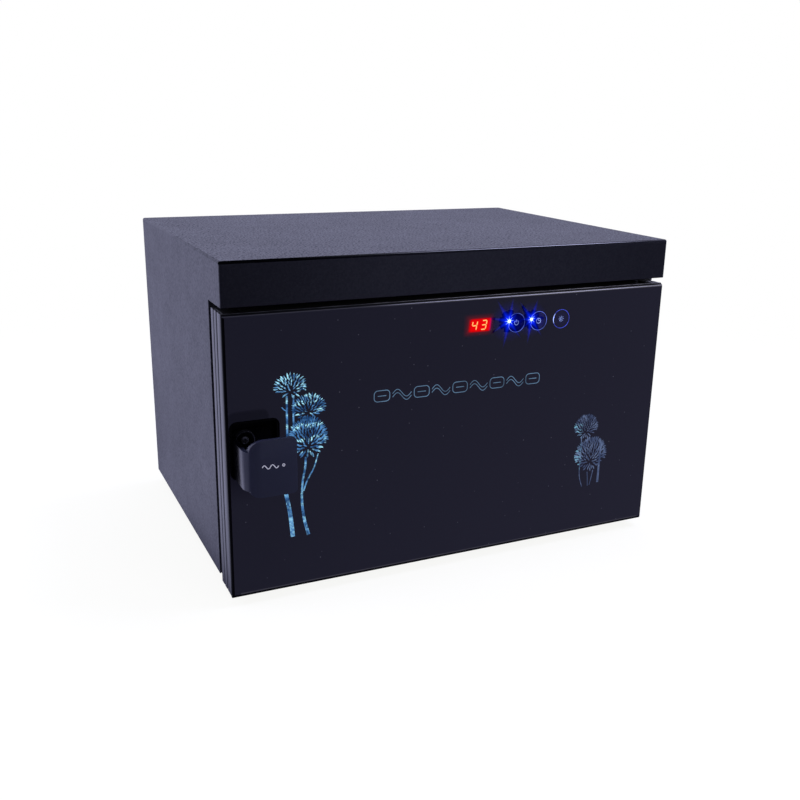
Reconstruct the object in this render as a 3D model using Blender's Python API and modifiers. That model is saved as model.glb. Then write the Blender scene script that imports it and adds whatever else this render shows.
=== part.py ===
"""UV steriliser cabinet: a powder-coated steel cabinet with a mirror-steel chamber, an
ultraviolet tube, a lift-out wire rack and a side-hinged glass door with touch controls.
Dimensions are in millimetres, measured from the cabinet's left side (x), from the outer
face of the door glass (y, growing towards the back) and from the underside of the
cabinet (z). place() turns them into metres about the middle of the whole object in x and y,
with z = 0 under the feet. A rect is (x0, x1, z0, z1)."""

import math

import bmesh
import bpy
from mathutils import Matrix, Vector

# ---------------------------------------------------------------- driving dimensions (mm)
GAP = 0.3                 # clearance between neighbouring parts

WIDTH = 420.0
HEIGHT = 273.6
SHELL_FRONT = 2.8
SHELL_BACK = 307.3
SHEET = 1.2               # sheet steel thickness
EDGE_R = 1.8
HOOD_Z = 238.3            # underside of the hood
SIDE_FRONT = 40.4         # front edge of the side panels, behind the door
INSET = SHEET + GAP       # panels fitted inside the shell, from its outer faces
BACK_OUT = SHELL_BACK - GAP
BACK_IN = BACK_OUT - SHEET
THROUGH_BACK = (300, 312)             # y span of cutters through the back panel
FOOT_H = 12.0
FOOT_R = 9.0
FEET = (("front_left", 26, 64), ("front_right", 394, 64),
        ("rear_left", 26, 284), ("rear_right", 394, 284))

VENT_COLUMNS = ((70, 150), (270, 350))
VENT_ROWS, VENT_Z, VENT_PITCH, VENT_H = 6, 196, 9.0, 3.4
REAR_SCREWS = ((14, 14), (406, 14), (14, 260), (406, 260))
REAR_SCREW_OUT = 309.8                # tip of the rear screw heads
INLET = (318.0, 350.0, 34.0, 52.0)
INLET_X, INLET_Z = 334, 43
INLET_SOCKET = (324, 344, 37.5, 48.5)

FRAME_Y, FRAME_T, FRAME_TOP = 41.7, 2.0, 237.7
FRAME_OPEN = (36.0, 384.0, 16.0, 222.0)
LINER = (34.0, 386.0, 43.0, 290.0, 14.0, 224.0)

LAMP_Y, LAMP_Z, LAMP_LEN = 166.0, 205.0, 288.0
TUBE_R, CAP_R, CAP_L, CAP_WALL = 7.6, 8.3, 12, 1.6
PIN_SPREAD, LAMP_PIN_R, LAMP_PIN_L, LAMP_PIN_ROOT = 2.375, 1.15, 7.0, 1.0
SOCKET_PLAY = 0.4                     # between a lamp end and its socket
SOCKET_L = 16
WELL_CENTRE, WELL_R, WELL_L = 3.7, 4.6, 9.0     # centre depth, radius and length
SLOT_DEPTH, SLOT_HALF = 8.2, 1.7
REFLECTOR_TOP = 222.4

RACK_Z = 63.9
RACK_X0, RACK_X1, RACK_Y0, RACK_Y1 = 41.0, 379.0, 62.0, 278.0
RACK_R, RACK_FINE_R, RACK_WIRES = 2.0, 1.3, 13
RAIL_Y0, RAIL_Y1 = 58, 282
RAIL_BOTTOM, RAIL_Z0, RAIL_Z1 = 50, 60.4, 61.6

CATCH = (15.0, 31.0, 104.0, 141.0)
SWITCH = (14.0, 32.0, 184.0, 202.0)
WINDOW_PLAY = 0.4                     # around a part in its window
PLUNGER_X, PLUNGER_Y, PLUNGER_Z, PLUNGER_R = 23.0, 44.7, 193.0, 2.4

DOOR_W = 417.5
DOOR_Z0, DOOR_Z1 = -3.2, 233.4
DOOR = (0.0, DOOR_W, DOOR_Z0, DOOR_Z1)
DOOR_H = DOOR_Z1 - DOOR_Z0
DOOR_MID_Z = (DOOR_Z0 + DOOR_Z1) / 2
DOOR_ORIGIN_Z = 115                   # origin height of the glass and the door axis
GLASS_T = 4.0
STILE_W = 18.0
STILE_FRONT, STILE_BACK = GLASS_T + GAP, 33.0
STILE_MID_Y = 18
LIP = 2.0                             # wall thickness of the stiles and rails
RAIL_H = 15.4
PIVOT_X, PIVOT_Y, PIN_R, KNUCKLE_R = 406.0, 17.0, 3.0, 9.0

CUP = (2.6, 43.0, 100.2, 148.0)
CUP_R, CUP_FLOOR, CUP_WALL, CUP_X = 5.5, 8.0, 1.8, 22.8
PULL_FRONT = -38.0
PULL_ROOT = 7.6                       # y where the pull's plate starts, inside the cup
PULL_X0, PULL_X1, PULL_Z0, PULL_Z1 = 4.6, 45.0, 98.0, 144.0
PULL_T, PULL_BEND, PULL_CORNER = 3.4, 12.0, 4.0
ARM_Z0, ARM_Z1 = 102.8, 134.2
PULL_ORIGIN_X, PULL_ORIGIN_Z = 20, 121
BOSSES = (("upper", 15.6, 131.4), ("lower", 15.6, 112.6))
HANDLE_HOLE_R = 2.3

TOUCH_PADS = ((259.5, 208.2), (282.2, 208.2), (306.0, 208.2))
DISPLAY = (211.7, 234.3, 203.0, 215.0)

Y_MID = (PULL_FRONT + REAR_SCREW_OUT) / 2

# Look: base colour, roughness, metallic
MATERIALS = {
    "powder": ((0.050, 0.052, 0.066), 0.55, 0.35),
    "frame_black": ((0.012, 0.012, 0.015), 0.5, 0.2),
    "galvanised": ((0.42, 0.43, 0.44), 0.45, 0.9),
    "mirror": ((0.80, 0.81, 0.82), 0.08, 1.0),
    "glass_black": ((0.010, 0.010, 0.014), 0.05, 0.0),
    "anodised": ((0.075, 0.077, 0.100), 0.35, 0.7),
    "plastic_black": ((0.008, 0.008, 0.010), 0.35, 0.0),
    "plastic_grey": ((0.030, 0.031, 0.045), 0.32, 0.0),
    "plastic_white": ((0.75, 0.75, 0.73), 0.4, 0.0),
    "rubber": ((0.012, 0.012, 0.012), 0.85, 0.0),
    "steel": ((0.55, 0.55, 0.56), 0.3, 1.0),
    "chrome": ((0.72, 0.73, 0.75), 0.1, 1.0),
    "tube_glass": ((0.78, 0.82, 0.92), 0.05, 0.0),
    "aluminium": ((0.70, 0.70, 0.71), 0.3, 1.0),
    "board": ((0.02, 0.12, 0.05), 0.5, 0.0),
    "display_red": ((0.20, 0.010, 0.008), 0.3, 0.0),
    "brass": ((0.62, 0.45, 0.18), 0.3, 1.0),
    "magnet": ((0.035, 0.032, 0.030), 0.7, 0.1),
}

# Turns of a prism or turned part: where its own Z ends up
AXES = {
    "z": Matrix.Identity(3),
    "y": Matrix(((1, 0, 0), (0, 0, -1), (0, 1, 0))),        # towards the front
    "back": Matrix.Rotation(-math.pi / 2, 3, "X"),
    "x": Matrix(((0, 0, 1), (1, 0, 0), (0, 1, 0))),
}
ROD_TURNS = {
    "z": Matrix.Identity(3),
    "y": Matrix.Rotation(-math.pi / 2, 3, "X"),
    "x": Matrix.Rotation(math.pi / 2, 3, "Y"),
}

# ---------------------------------------------------------------- scene
for old in list(bpy.data.objects):
    bpy.data.objects.remove(old, do_unlink=True)

parts = bpy.data.collections.new("uv_steriliser_cabinet")
helpers = bpy.data.collections.new("cutters")
bpy.context.scene.collection.children.link(parts)
bpy.context.scene.collection.children.link(helpers)


# ---------------------------------------------------------------- placing and outlines
def place(x, y, z):
    return Vector(((x - WIDTH / 2) / 1000, (y - Y_MID) / 1000, (z + FOOT_H) / 1000))


def grown(rect, by_x, by_z=None):
    """A rect with its sides moved outwards, equally in x and z unless by_z is given."""
    x0, x1, z0, z1 = rect
    by_z = by_x if by_z is None else by_z
    return x0 - by_x, x1 + by_x, z0 - by_z, z1 + by_z


def span(rect, y0, y1):
    """The six limits of a box: a rect carried from y0 to y1."""
    x0, x1, z0, z1 = rect
    return x0, x1, y0, y1, z0, z1


def arc(u, v, radius, start, sweep, steps, radius_v=None):
    """Points of an arc about (u, v), angles in degrees; radius_v makes it elliptical."""
    radius_v = radius if radius_v is None else radius_v
    angles = [math.radians(start + sweep * k / steps) for k in range(steps + 1)]
    return [(u + radius * math.cos(a), v + radius_v * math.sin(a)) for a in angles]


def rounded(rect, radius, steps=5):
    """Outline of a rectangle with round corners."""
    u0, u1, v0, v1 = rect
    return (
        arc(u1 - radius, v1 - radius, radius, 0, 90, steps)
        + arc(u0 + radius, v1 - radius, radius, 90, 90, steps)
        + arc(u0 + radius, v0 + radius, radius, 180, 90, steps)
        + arc(u1 - radius, v0 + radius, radius, 270, 90, steps)
    )


# ---------------------------------------------------------------- making parts
def finish_material(obj, look):
    colour, rough, metal = MATERIALS[look]
    mat = bpy.data.materials.new(obj.name)
    mat.use_nodes = True
    shader = mat.node_tree.nodes["Principled BSDF"]
    shader.inputs["Base Color"].default_value = (*colour, 1)
    shader.inputs["Roughness"].default_value = rough
    shader.inputs["Metallic"].default_value = metal
    obj.data.materials.clear()
    obj.data.materials.append(mat)


def adopt(name, mesh, look):
    """Make a part with its material or, without a look, a hidden helper."""
    obj = bpy.data.objects.new(name, mesh)
    if look:
        parts.objects.link(obj)
        finish_material(obj, look)
    else:
        helpers.objects.link(obj)
        obj.hide_render = True
        obj.display_type = "WIRE"
    return obj


def bake(bm, name):
    mesh = bpy.data.meshes.new(name)
    bm.to_mesh(mesh)
    bm.free()
    return mesh


def add_block(bm, x0, x1, y0, y1, z0, z1):
    """Add a box about the mesh origin; returns its vertices and its proper centre."""
    verts = bmesh.ops.create_cube(bm, size=1.0)["verts"]
    bmesh.ops.scale(bm, vec=Vector((x1 - x0, y1 - y0, z1 - z0)) / 1000, verts=verts)
    return verts, place((x0 + x1) / 2, (y0 + y1) / 2, (z0 + z1) / 2)


def box(name, x0, x1, y0, y1, z0, z1, look):
    bm = bmesh.new()
    _, centre = add_block(bm, x0, x1, y0, y1, z0, z1)
    obj = adopt(name, bake(bm, name), look)
    obj.location = centre
    return obj


def boxes(name, *spans):
    """One or more separate boxes in one helper mesh."""
    bm = bmesh.new()
    for limits in spans:
        verts, centre = add_block(bm, *limits)
        bmesh.ops.translate(bm, vec=centre, verts=verts)
    return adopt(name, bake(bm, name), None)


def rod(name, centre, radius, length, axis, look=None, sides=24):
    """A cylinder centred on a point."""
    bm = bmesh.new()
    bmesh.ops.create_cone(
        bm, cap_ends=True, segments=sides, radius1=radius / 1000,
        radius2=radius / 1000, depth=length / 1000,
    )
    bmesh.ops.rotate(bm, verts=bm.verts, matrix=ROD_TURNS[axis])
    mesh = bake(bm, name)
    for face in mesh.polygons:
        face.use_smooth = len(face.vertices) == 4
    obj = adopt(name, mesh, look)
    obj.location = place(*centre)
    return obj


def add_spline(curve, points):
    spline = curve.splines.new("POLY")
    spline.points.add(len(points) - 1)
    for point, at in zip(spline.points, points):
        point.co = (*at, 1)
    return spline


def curve_mesh(name, curve):
    """The curve's solid as a welded mesh with its faces turned outwards."""
    drawn = bpy.data.objects.new(name + "_curve", curve)
    helpers.objects.link(drawn)
    bpy.context.view_layer.update()
    mesh = bpy.data.meshes.new_from_object(
        drawn.evaluated_get(bpy.context.evaluated_depsgraph_get())
    )
    bpy.data.objects.remove(drawn, do_unlink=True)
    bm = bmesh.new()
    bm.from_mesh(mesh)
    bmesh.ops.remove_doubles(bm, verts=bm.verts, dist=1e-6)
    bmesh.ops.recalc_face_normals(bm, faces=bm.faces)
    bm.to_mesh(mesh)
    bm.free()
    mesh.name = name
    return mesh


def prism(name, loops, centre, length, axis, look=None):
    """Flat outline loops (the first one outside, the rest holes) extruded along an axis,
    half to each side of the centre. Outline points are in the cabinet's millimetres."""
    curve = bpy.data.curves.new(name, "CURVE")
    curve.dimensions = "2D"
    curve.fill_mode = "BOTH"
    curve.extrude = length / 2000
    x, y, z = centre
    u0, v0 = {"x": (y, z), "y": (x, z), "z": (x, y)}[axis]
    for loop in loops:
        points = [((u - u0) / 1000, (v - v0) / 1000, 0) for u, v in loop]
        add_spline(curve, points).use_cyclic_u = True
    obj = adopt(name, curve_mesh(name, curve), look)
    obj.location = place(*centre)
    obj.rotation_euler = AXES[axis].to_euler()
    return obj


def turned(name, profile, centre, axis, look, steps=24):
    """A profile of (radius, height) pairs, top to bottom, spun about its own Z."""
    mesh = bpy.data.meshes.new(name)
    mesh.from_pydata(
        [(radius / 1000, 0, height / 1000) for radius, height in profile],
        [(i, i + 1) for i in range(len(profile) - 1)],
        [],
    )
    obj = adopt(name, mesh, look)
    spin = obj.modifiers.new("turn", "SCREW")
    spin.steps = spin.render_steps = steps
    spin.use_merge_vertices = True
    spin.merge_threshold = 1e-5
    spin.use_smooth_shade = True
    obj.location = place(*centre)
    obj.rotation_euler = AXES[axis].to_euler()
    return obj


def wire(name, points, radius, look=None, resolution=2):
    """A round bar along a polyline."""
    curve = bpy.data.curves.new(name, "CURVE")
    curve.dimensions = "3D"
    curve.bevel_depth = radius / 1000
    curve.bevel_resolution = resolution
    curve.use_fill_caps = True
    add_spline(curve, [place(*at) for at in points])
    return adopt(name, curve_mesh(name, curve), look)


# ---------------------------------------------------------------- modifiers and groups
def combine(obj, other, operation):
    joined = obj.modifiers.new(operation.lower(), "BOOLEAN")
    joined.operation = operation
    joined.solver = "EXACT"
    joined.object = other


def cut(obj, cutter):
    combine(obj, cutter, "DIFFERENCE")


def join(obj, other):
    combine(obj, other, "UNION")


def bevel(obj, width, segments, name="edges"):
    edge = obj.modifiers.new(name, "BEVEL")
    edge.width = width / 1000
    edge.segments = segments
    return edge


def soften(obj, width, segments):
    """Bevel only where faces turn by more than 35 degrees."""
    edge = bevel(obj, width, segments, "soften")
    edge.limit_method = "ANGLE"
    edge.angle_limit = math.radians(35.0)


def hang(empty_name, centre, names):
    """Parent the named objects to a new empty, leaving them where they are."""
    empty = bpy.data.objects.new(empty_name, None)
    empty.location = place(*centre)
    empty.empty_display_size = 0.02
    helpers.objects.link(empty)
    bpy.context.view_layer.update()
    for name in names:
        obj = bpy.data.objects[name]
        obj.parent = empty
        obj.matrix_parent_inverse = empty.matrix_world.inverted()


# ---------------------------------------------------------------- cabinet
def build_shell():
    """Top, sides and hood in one sheet. The rounded block runs 30 mm too far at the back
    and bottom, so that trimming leaves those edges square."""
    wide = (-10, WIDTH + 10)
    shell = box("cabinet_shell", 0, WIDTH, SHELL_FRONT, SHELL_BACK + 30, -30, HEIGHT, "powder")
    bevel(shell, EDGE_R, 3)
    cut(shell, boxes("shell_inside", (
        SHEET, WIDTH - SHEET, SHELL_FRONT + SHEET, SHELL_BACK + 60, -60, HEIGHT - SHEET,
    )))
    cut(shell, boxes("shell_trim", (*wide, SHELL_BACK, SHELL_BACK + 60, -70, HEIGHT + 10)))
    cut(shell, boxes("shell_foot_trim", (*wide, -10, SHELL_BACK + 50, -70, 0)))
    cut(shell, boxes("door_notch", (*wide, -10, SIDE_FRONT, -60, HOOD_Z)))
    box("hood_bottom_plate", INSET, WIDTH - INSET, SHELL_FRONT + INSET, 40.3,
        HOOD_Z, HOOD_Z + SHEET, "frame_black")


def build_rear_screw(number, x, z):
    screw = turned(f"rear_screw_{number}", [
        (0, 2.5), (1.5, 2.35), (2.8, 1.7), (3.6, 0.3), (3.6, 0),
        (1.6, 0), (1.6, -9.0), (0.6, -10.5), (0, -10.5),
    ], (x, SHELL_BACK, z), "back", "steel", 16)
    cut(screw, boxes(f"rear_slot_{number}", (
        x - 2.0, x + 2.0, SHELL_BACK + 1.2, SHELL_BACK + 5, z - 0.4, z + 0.4,
    )))


def build_back():
    back = box("back_panel", INSET, WIDTH - INSET, BACK_IN, BACK_OUT,
               GAP, HEIGHT - INSET, "powder")
    slots = []
    for row in range(VENT_ROWS):
        z = VENT_Z + VENT_PITCH * row
        slots += [(*column, *THROUGH_BACK, z, z + VENT_H) for column in VENT_COLUMNS]
    cut(back, boxes("vent_slots", *slots))
    for number, (x, z) in enumerate(REAR_SCREWS, 1):
        cut(back, rod(f"rear_hole_{number}", (x, 306, z), 2.1, 20, "y", sides=16))
        build_rear_screw(number, x, z)
    cut(back, boxes("inlet_window", span(grown(INLET, WINDOW_PLAY), *THROUGH_BACK)))


def build_inlet():
    """Power inlet: a body through the back panel, a rim outside and two pins in a socket."""
    inlet = prism("power_inlet", [rounded(INLET, 3)], (INLET_X, 299.9, INLET_Z), 15.4,
                  "y", "plastic_black")
    join(inlet, prism("inlet_rim", [rounded(grown(INLET, 5, 4), 5)],
                      (INLET_X, 308.3, INLET_Z), 1.8, "y"))
    cut(inlet, prism("inlet_socket", [rounded(INLET_SOCKET, 5.4, 6)],
                     (INLET_X, 304, INLET_Z), 16, "y"))
    for i, x in enumerate((INLET_X - 4.5, INLET_X + 4.5)):
        join(inlet, rod(f"inlet_pin_{i}", (x, 300.5, INLET_Z), 1.2, 11, "y", sides=12))


def build_base():
    box("base_panel", INSET, WIDTH - INSET, FRAME_Y - FRAME_T / 2, BACK_IN - GAP,
        0.0, SHEET, "powder")
    for name, x, y in FEET:
        turned("foot_" + name, [
            (0, -GAP), (FOOT_R, -GAP), (FOOT_R, -3.0),
            (FOOT_R - 0.8, -FOOT_H + 1.2), (FOOT_R - 2.0, -FOOT_H), (0, -FOOT_H),
        ], (x, y, 0), "z", "rubber")


def build_frame():
    frame = prism("front_frame", [
        rounded((INSET, WIDTH - INSET, INSET, FRAME_TOP), 0.5, 1), rounded(FRAME_OPEN, 4, 4),
    ], (WIDTH / 2, FRAME_Y, 120), FRAME_T, "y", "frame_black")
    cut(frame, boxes("frame_windows", span(grown(CATCH, WINDOW_PLAY), 30, 50)))
    cut(frame, rod("plunger_window", (PLUNGER_X, 41, PLUNGER_Z), PLUNGER_R + 1.2, 12,
                   "y", sides=20))


def build_liner():
    """Mirror-steel chamber, open at the front."""
    x0, x1, y0, y1, z0, z1 = LINER
    liner = box("chamber_liner", *LINER, "mirror")
    cut(liner, boxes("chamber_space", (
        x0 + SHEET, x1 - SHEET, y0 - 20, y1 - SHEET, z0 + SHEET, z1 - SHEET,
    )))


# ---------------------------------------------------------------- lamp and its holders
def build_reflector():
    # (y, z) points: the upper side towards the back, then the underside returning
    prism("lamp_reflector", [[
        (128, 206.6), (146, REFLECTOR_TOP), (186, REFLECTOR_TOP), (204, 206.6),
        (203.3, 206.0), (185.7, 221.6), (146.3, 221.6), (128.7, 206.0),
    ]], (WIDTH / 2, LAMP_Y, 214), 268, "x", "mirror")


def build_socket(side, face, sign):
    """Lamp holder outwards from its inner face, with a well and a slot open below."""
    socket = prism("lamp_socket_" + side, [
        rounded((LAMP_Y - 11, LAMP_Y + 11, LAMP_Z - 13, REFLECTOR_TOP), 4, 4)
    ], (face + sign * SOCKET_L / 2, LAMP_Y, LAMP_Z), SOCKET_L, "x", "plastic_white")
    cut(socket, rod(f"socket_well_{side}", (face + sign * WELL_CENTRE, LAMP_Y, LAMP_Z),
                    WELL_R, WELL_L, "x"))
    cut(socket, boxes(f"socket_slot_{side}", (
        *sorted((face - sign * 1.0, face + sign * SLOT_DEPTH)),
        LAMP_Y - SLOT_HALF, LAMP_Y + SLOT_HALF, LAMP_Z - 30, LAMP_Z,
    )))


def build_lamp_cap(side, end, sign):
    """Metal cap inwards from the lamp's end, bored for the tube, with two pins."""
    bore_length = 20
    cap = rod("lamp_cap_" + side, (end - sign * CAP_L / 2, LAMP_Y, LAMP_Z), CAP_R, CAP_L,
              "x", "aluminium")
    cut(cap, rod(f"cap_bore_{side}",
                 (end - sign * (CAP_WALL + bore_length / 2), LAMP_Y, LAMP_Z),
                 TUBE_R + GAP, bore_length, "x"))
    pin_x = end + sign * (LAMP_PIN_L - LAMP_PIN_ROOT) / 2
    for k in (-1, 1):
        join(cap, rod(f"cap_pin_{side}_{k}", (pin_x, LAMP_Y + k * PIN_SPREAD, LAMP_Z),
                      LAMP_PIN_R, LAMP_PIN_L + LAMP_PIN_ROOT, "x", sides=12))


def build_lamp():
    build_reflector()
    for side, sign in (("left", -1), ("right", 1)):
        end = WIDTH / 2 + sign * LAMP_LEN / 2
        build_socket(side, end + sign * SOCKET_PLAY, sign)
        build_lamp_cap(side, end, sign)
    half = LAMP_LEN / 2
    turned("uv_lamp_tube", [
        (0, half - 2.0), (TUBE_R - 1.5, half - 2.0), (TUBE_R, half - 3.5),
        (TUBE_R, -half + 3.5), (TUBE_R - 1.5, -half + 2.0), (0, -half + 2.0),
    ], (WIDTH / 2, LAMP_Y, LAMP_Z), "x", "tube_glass")
    soften(box("ballast", 120, 300, 180, 216, 226, 248, "galvanised"), 2.0, 2)


# ---------------------------------------------------------------- rack and its rails
def build_rack_rails():
    # side, x span of the lip, x span of the wall
    for side, lip, wall in (
        ("left", (35.5, 47.0), (35.5, 36.7)), ("right", (373.0, 384.5), (383.3, 384.5)),
    ):
        rail = box("rack_rail_" + side, *lip, RAIL_Y0, RAIL_Y1, RAIL_Z0, RAIL_Z1, "mirror")
        join(rail, boxes(f"rail_wall_{side}", (*wall, RAIL_Y0, RAIL_Y1, RAIL_BOTTOM, RAIL_Z1)))


def rack_bars():
    """Name, start (x, y), end (x, y), height, radius and bevel resolution of each bar
    welded to the front one."""
    mid_y = (RACK_Y0 + RACK_Y1) / 2
    side_y0, side_y1 = RACK_Y0 - RACK_R, RACK_Y1 + RACK_R
    side_r = RACK_R * 1.02
    bars = [
        ("rack_back", (RACK_X0, RACK_Y1), (RACK_X1, RACK_Y1), RACK_Z, RACK_R, 2),
        ("rack_left", (RACK_X0, side_y0), (RACK_X0, side_y1), RACK_Z, side_r, 2),
        ("rack_right", (RACK_X1, side_y0), (RACK_X1, side_y1), RACK_Z, side_r, 2),
        ("rack_middle", (RACK_X0, mid_y), (RACK_X1, mid_y), RACK_Z, RACK_R * 0.8, 2),
    ]
    pitch = (RACK_X1 - RACK_X0) / (RACK_WIRES + 1)
    for k in range(1, RACK_WIRES + 1):
        x = RACK_X0 + pitch * k
        bars.append((f"rack_bar_{k}", (x, RACK_Y0 - 0.9), (x, RACK_Y1 + 0.9),
                     RACK_Z + 1.5, RACK_FINE_R, 1))
    return bars


def build_rack():
    rack = wire("wire_rack", [(RACK_X0, RACK_Y0, RACK_Z), (RACK_X1, RACK_Y0, RACK_Z)],
                RACK_R, "chrome")
    rack_wires = bpy.data.collections.new("rack_wires")
    rack_wires.hide_render = True
    helpers.children.link(rack_wires)
    for name, start, end, z, radius, resolution in rack_bars():
        bar = wire(name, [(*start, z), (*end, z)], radius, resolution=resolution)
        helpers.objects.unlink(bar)
        rack_wires.objects.link(bar)
    weld = rack.modifiers.new("weld_wires", "BOOLEAN")
    weld.operation = "UNION"
    weld.solver = "EXACT"
    weld.operand_type = "COLLECTION"
    weld.collection = rack_wires


# ---------------------------------------------------------------- catch, interlock, hinges
def build_catch_and_interlock():
    soften(box("catch_magnet", *span(CATCH, 36.6, 56), "magnet"), 1.0, 1)
    switch = box("interlock_switch", *span(SWITCH, 43.2, 62), "plastic_black")
    cut(switch, rod("switch_bore", (PLUNGER_X, 46, PLUNGER_Z), PLUNGER_R + 0.4, 20,
                    "y", sides=20))
    turned("interlock_plunger", [
        (0, 10.0), (1.4, 10.0), (PLUNGER_R, 9.0), (PLUNGER_R, -9.0), (0, -9.0),
    ], (PLUNGER_X, PLUNGER_Y, PLUNGER_Z), "y", "plastic_white", 20)


def build_hinge_brackets():
    """Flat leaves reaching forward to the pivot, each with an upright tab and a pin."""
    outline = [
        (417.0, 40.4), (396.0, 40.4), (396.0, 24.0),
        *arc(PIVOT_X, PIVOT_Y, KNUCKLE_R, 200, 140, 8), (417.0, 24.0),
    ]
    # side, then the z spans of the leaf, the tab and the pin
    for side, leaf, tab, pin in (
        ("top", (235.0, 236.6), (208, 235.9), (224.0, 235.8)),
        ("bottom", (-6.8, -5.2), (-6.1, 22), (-5.9, 6.5)),
    ):
        bracket = prism("hinge_bracket_" + side, [outline], (PIVOT_X, 25, sum(leaf) / 2),
                        leaf[1] - leaf[0], "z", "frame_black")
        join(bracket, boxes(f"bracket_tab_{side}", (404.2, 416.6, 38.8, 40.1, *tab)))
        join(bracket, rod(f"bracket_pin_{side}", (PIVOT_X, PIVOT_Y, sum(pin) / 2), PIN_R,
                          pin[1] - pin[0], "z", sides=20))


# ---------------------------------------------------------------- door
def stile_profile(x_out, sign):
    """Channel section: a grooved outer wall with two walls running inwards."""
    inner = x_out + sign * STILE_W
    skin = x_out + sign * LIP
    groove = x_out + sign * 1.1
    y0, y1 = STILE_FRONT, STILE_BACK
    return [
        (inner, y0), (x_out, y0),
        (x_out, 14.8), (groove, 15.0), (groove, 16.8), (x_out, 17.0),
        (x_out, 23.8), (groove, 24.0), (groove, 25.4), (x_out, 25.6),
        (x_out, y1), (inner, y1), (inner, y1 - LIP), (skin, y1 - LIP),
        (skin, y0 + LIP), (inner, y0 + LIP),
    ]


def build_stiles():
    stile = prism("door_stile_left", [stile_profile(0, 1)], (9, STILE_MID_Y, DOOR_MID_Z),
                  DOOR_H, "z", "anodised")
    cut(stile, boxes("stile_cup_space", (2.3, 60, 0, 13, CUP[2] - 1, CUP[3] + 1)))
    prism("door_stile_right", [stile_profile(DOOR_W, -1)], (408, STILE_MID_Y, DOOR_MID_Z),
          DOOR_H, "z", "anodised")
    for side, z0, z1 in (
        ("top", DOOR_Z1 - 5.0, DOOR_Z1 - 0.2), ("bottom", DOOR_Z0 + 0.2, DOOR_Z0 + 5.0),
    ):
        cap = box("stile_cap_" + side, LIP + GAP, STILE_W - GAP, STILE_FRONT + LIP + GAP,
                  STILE_BACK - LIP - GAP, z0, z1, "plastic_black")
        soften(cap, 0.5, 1)


def build_rails_and_bushes():
    """Channel rails between the stiles, and hinge bushes in the right stile."""
    y0, y1 = STILE_FRONT, STILE_BACK
    for side, z_out, up in (("top", DOOR_Z1, 1), ("bottom", DOOR_Z0, -1)):
        z_in = z_out - up * RAIL_H
        skin = z_out - up * LIP
        prism("door_rail_" + side, [[
            (y0, z_in), (y0, z_out), (y1, z_out), (y1, z_in),
            (y1 - LIP, z_in), (y1 - LIP, skin), (y0 + LIP, skin), (y0 + LIP, z_in),
        ]], (DOOR_W / 2, STILE_MID_Y, (z_in + z_out) / 2),
            DOOR_W - 2 * STILE_W - 2 * GAP, "x", "anodised")
        z = z_out - up * GAP
        limits = sorted((z, z - up * 12))
        bush = box("hinge_bush_" + side, 400.0, 415.2, 6.6, 30.7, *limits, "plastic_black")
        cut(bush, rod(f"bush_bore_{side}", (PIVOT_X, PIVOT_Y, sum(limits) / 2),
                      PIN_R + 0.35, 40, "z", sides=20))


def build_door_faces():
    """Front glass with a hole for the handle cup, inner panel, gasket and strike plate."""
    prism("door_glass", [rounded(DOOR, 0.8, 2), rounded(CUP, CUP_R, 6)],
          (DOOR_W / 2, GLASS_T / 2, DOOR_ORIGIN_Z), GLASS_T, "y", "glass_black")
    panel_y = STILE_BACK + GAP
    box("door_inner_panel", *span(grown(DOOR, -0.8), panel_y, panel_y + 1.0), "mirror")
    prism("door_gasket", [rounded((4, 402, 4, 228), 6, 4), rounded((13, 393, 13, 219), 3, 3)],
          (203, 37.4, 116), 5.4, "y", "rubber")
    box("strike_plate", 16, 30, 34.7, 36.2, 105, 140, "steel")


def build_cup():
    """Shallow cup sunk in the door, open at the front."""
    cup = prism("handle_cup", [rounded(grown(CUP, -GAP), CUP_R - GAP, 6)],
                (CUP_X, 5.45, 124), 10.1, "y", "plastic_black")
    cut(cup, prism("cup_space", [rounded(grown(CUP, -CUP_WALL), 0.9, 3)],
                   (CUP_X, CUP_FLOOR - 10, 125), 20, "y"))
    for name, x, z in BOSSES:
        cut(cup, rod(f"cup_hole_{name}", (x, 9, z), HANDLE_HOLE_R, 12, "y", sides=16))


def pull_section():
    """The pull's plate seen from above: forward out of the cup, then bent to the right."""
    bend = (PULL_X0 + PULL_BEND, PULL_FRONT + PULL_BEND)
    outer = [(PULL_X0, PULL_ROOT), *arc(*bend, PULL_BEND, 180, 90, 8), (PULL_X1, PULL_FRONT)]
    inner = [
        (PULL_X0 + PULL_T, PULL_ROOT), *arc(*bend, PULL_BEND - PULL_T, 180, 90, 8),
        (PULL_X1, PULL_FRONT + PULL_T),
    ]
    return outer + inner[::-1]


def pull_outline():
    """The pull seen from the front: a tall grip curving in to a lower arm at its left."""
    corner = PULL_CORNER
    return [
        *arc(PULL_X1 - corner, PULL_Z1 - corner, corner, 0, 90, 6),
        *arc(18.0, ARM_Z1, 10.0, 90, 90, 6, PULL_Z1 - ARM_Z1),
        (0, ARM_Z1), (0, ARM_Z0),
        *arc(16.0, ARM_Z0, 8.0, 180, 90, 6, ARM_Z0 - PULL_Z0),
        *arc(PULL_X1 - corner, PULL_Z0 + corner, corner, 270, 90, 6),
    ]


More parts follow.
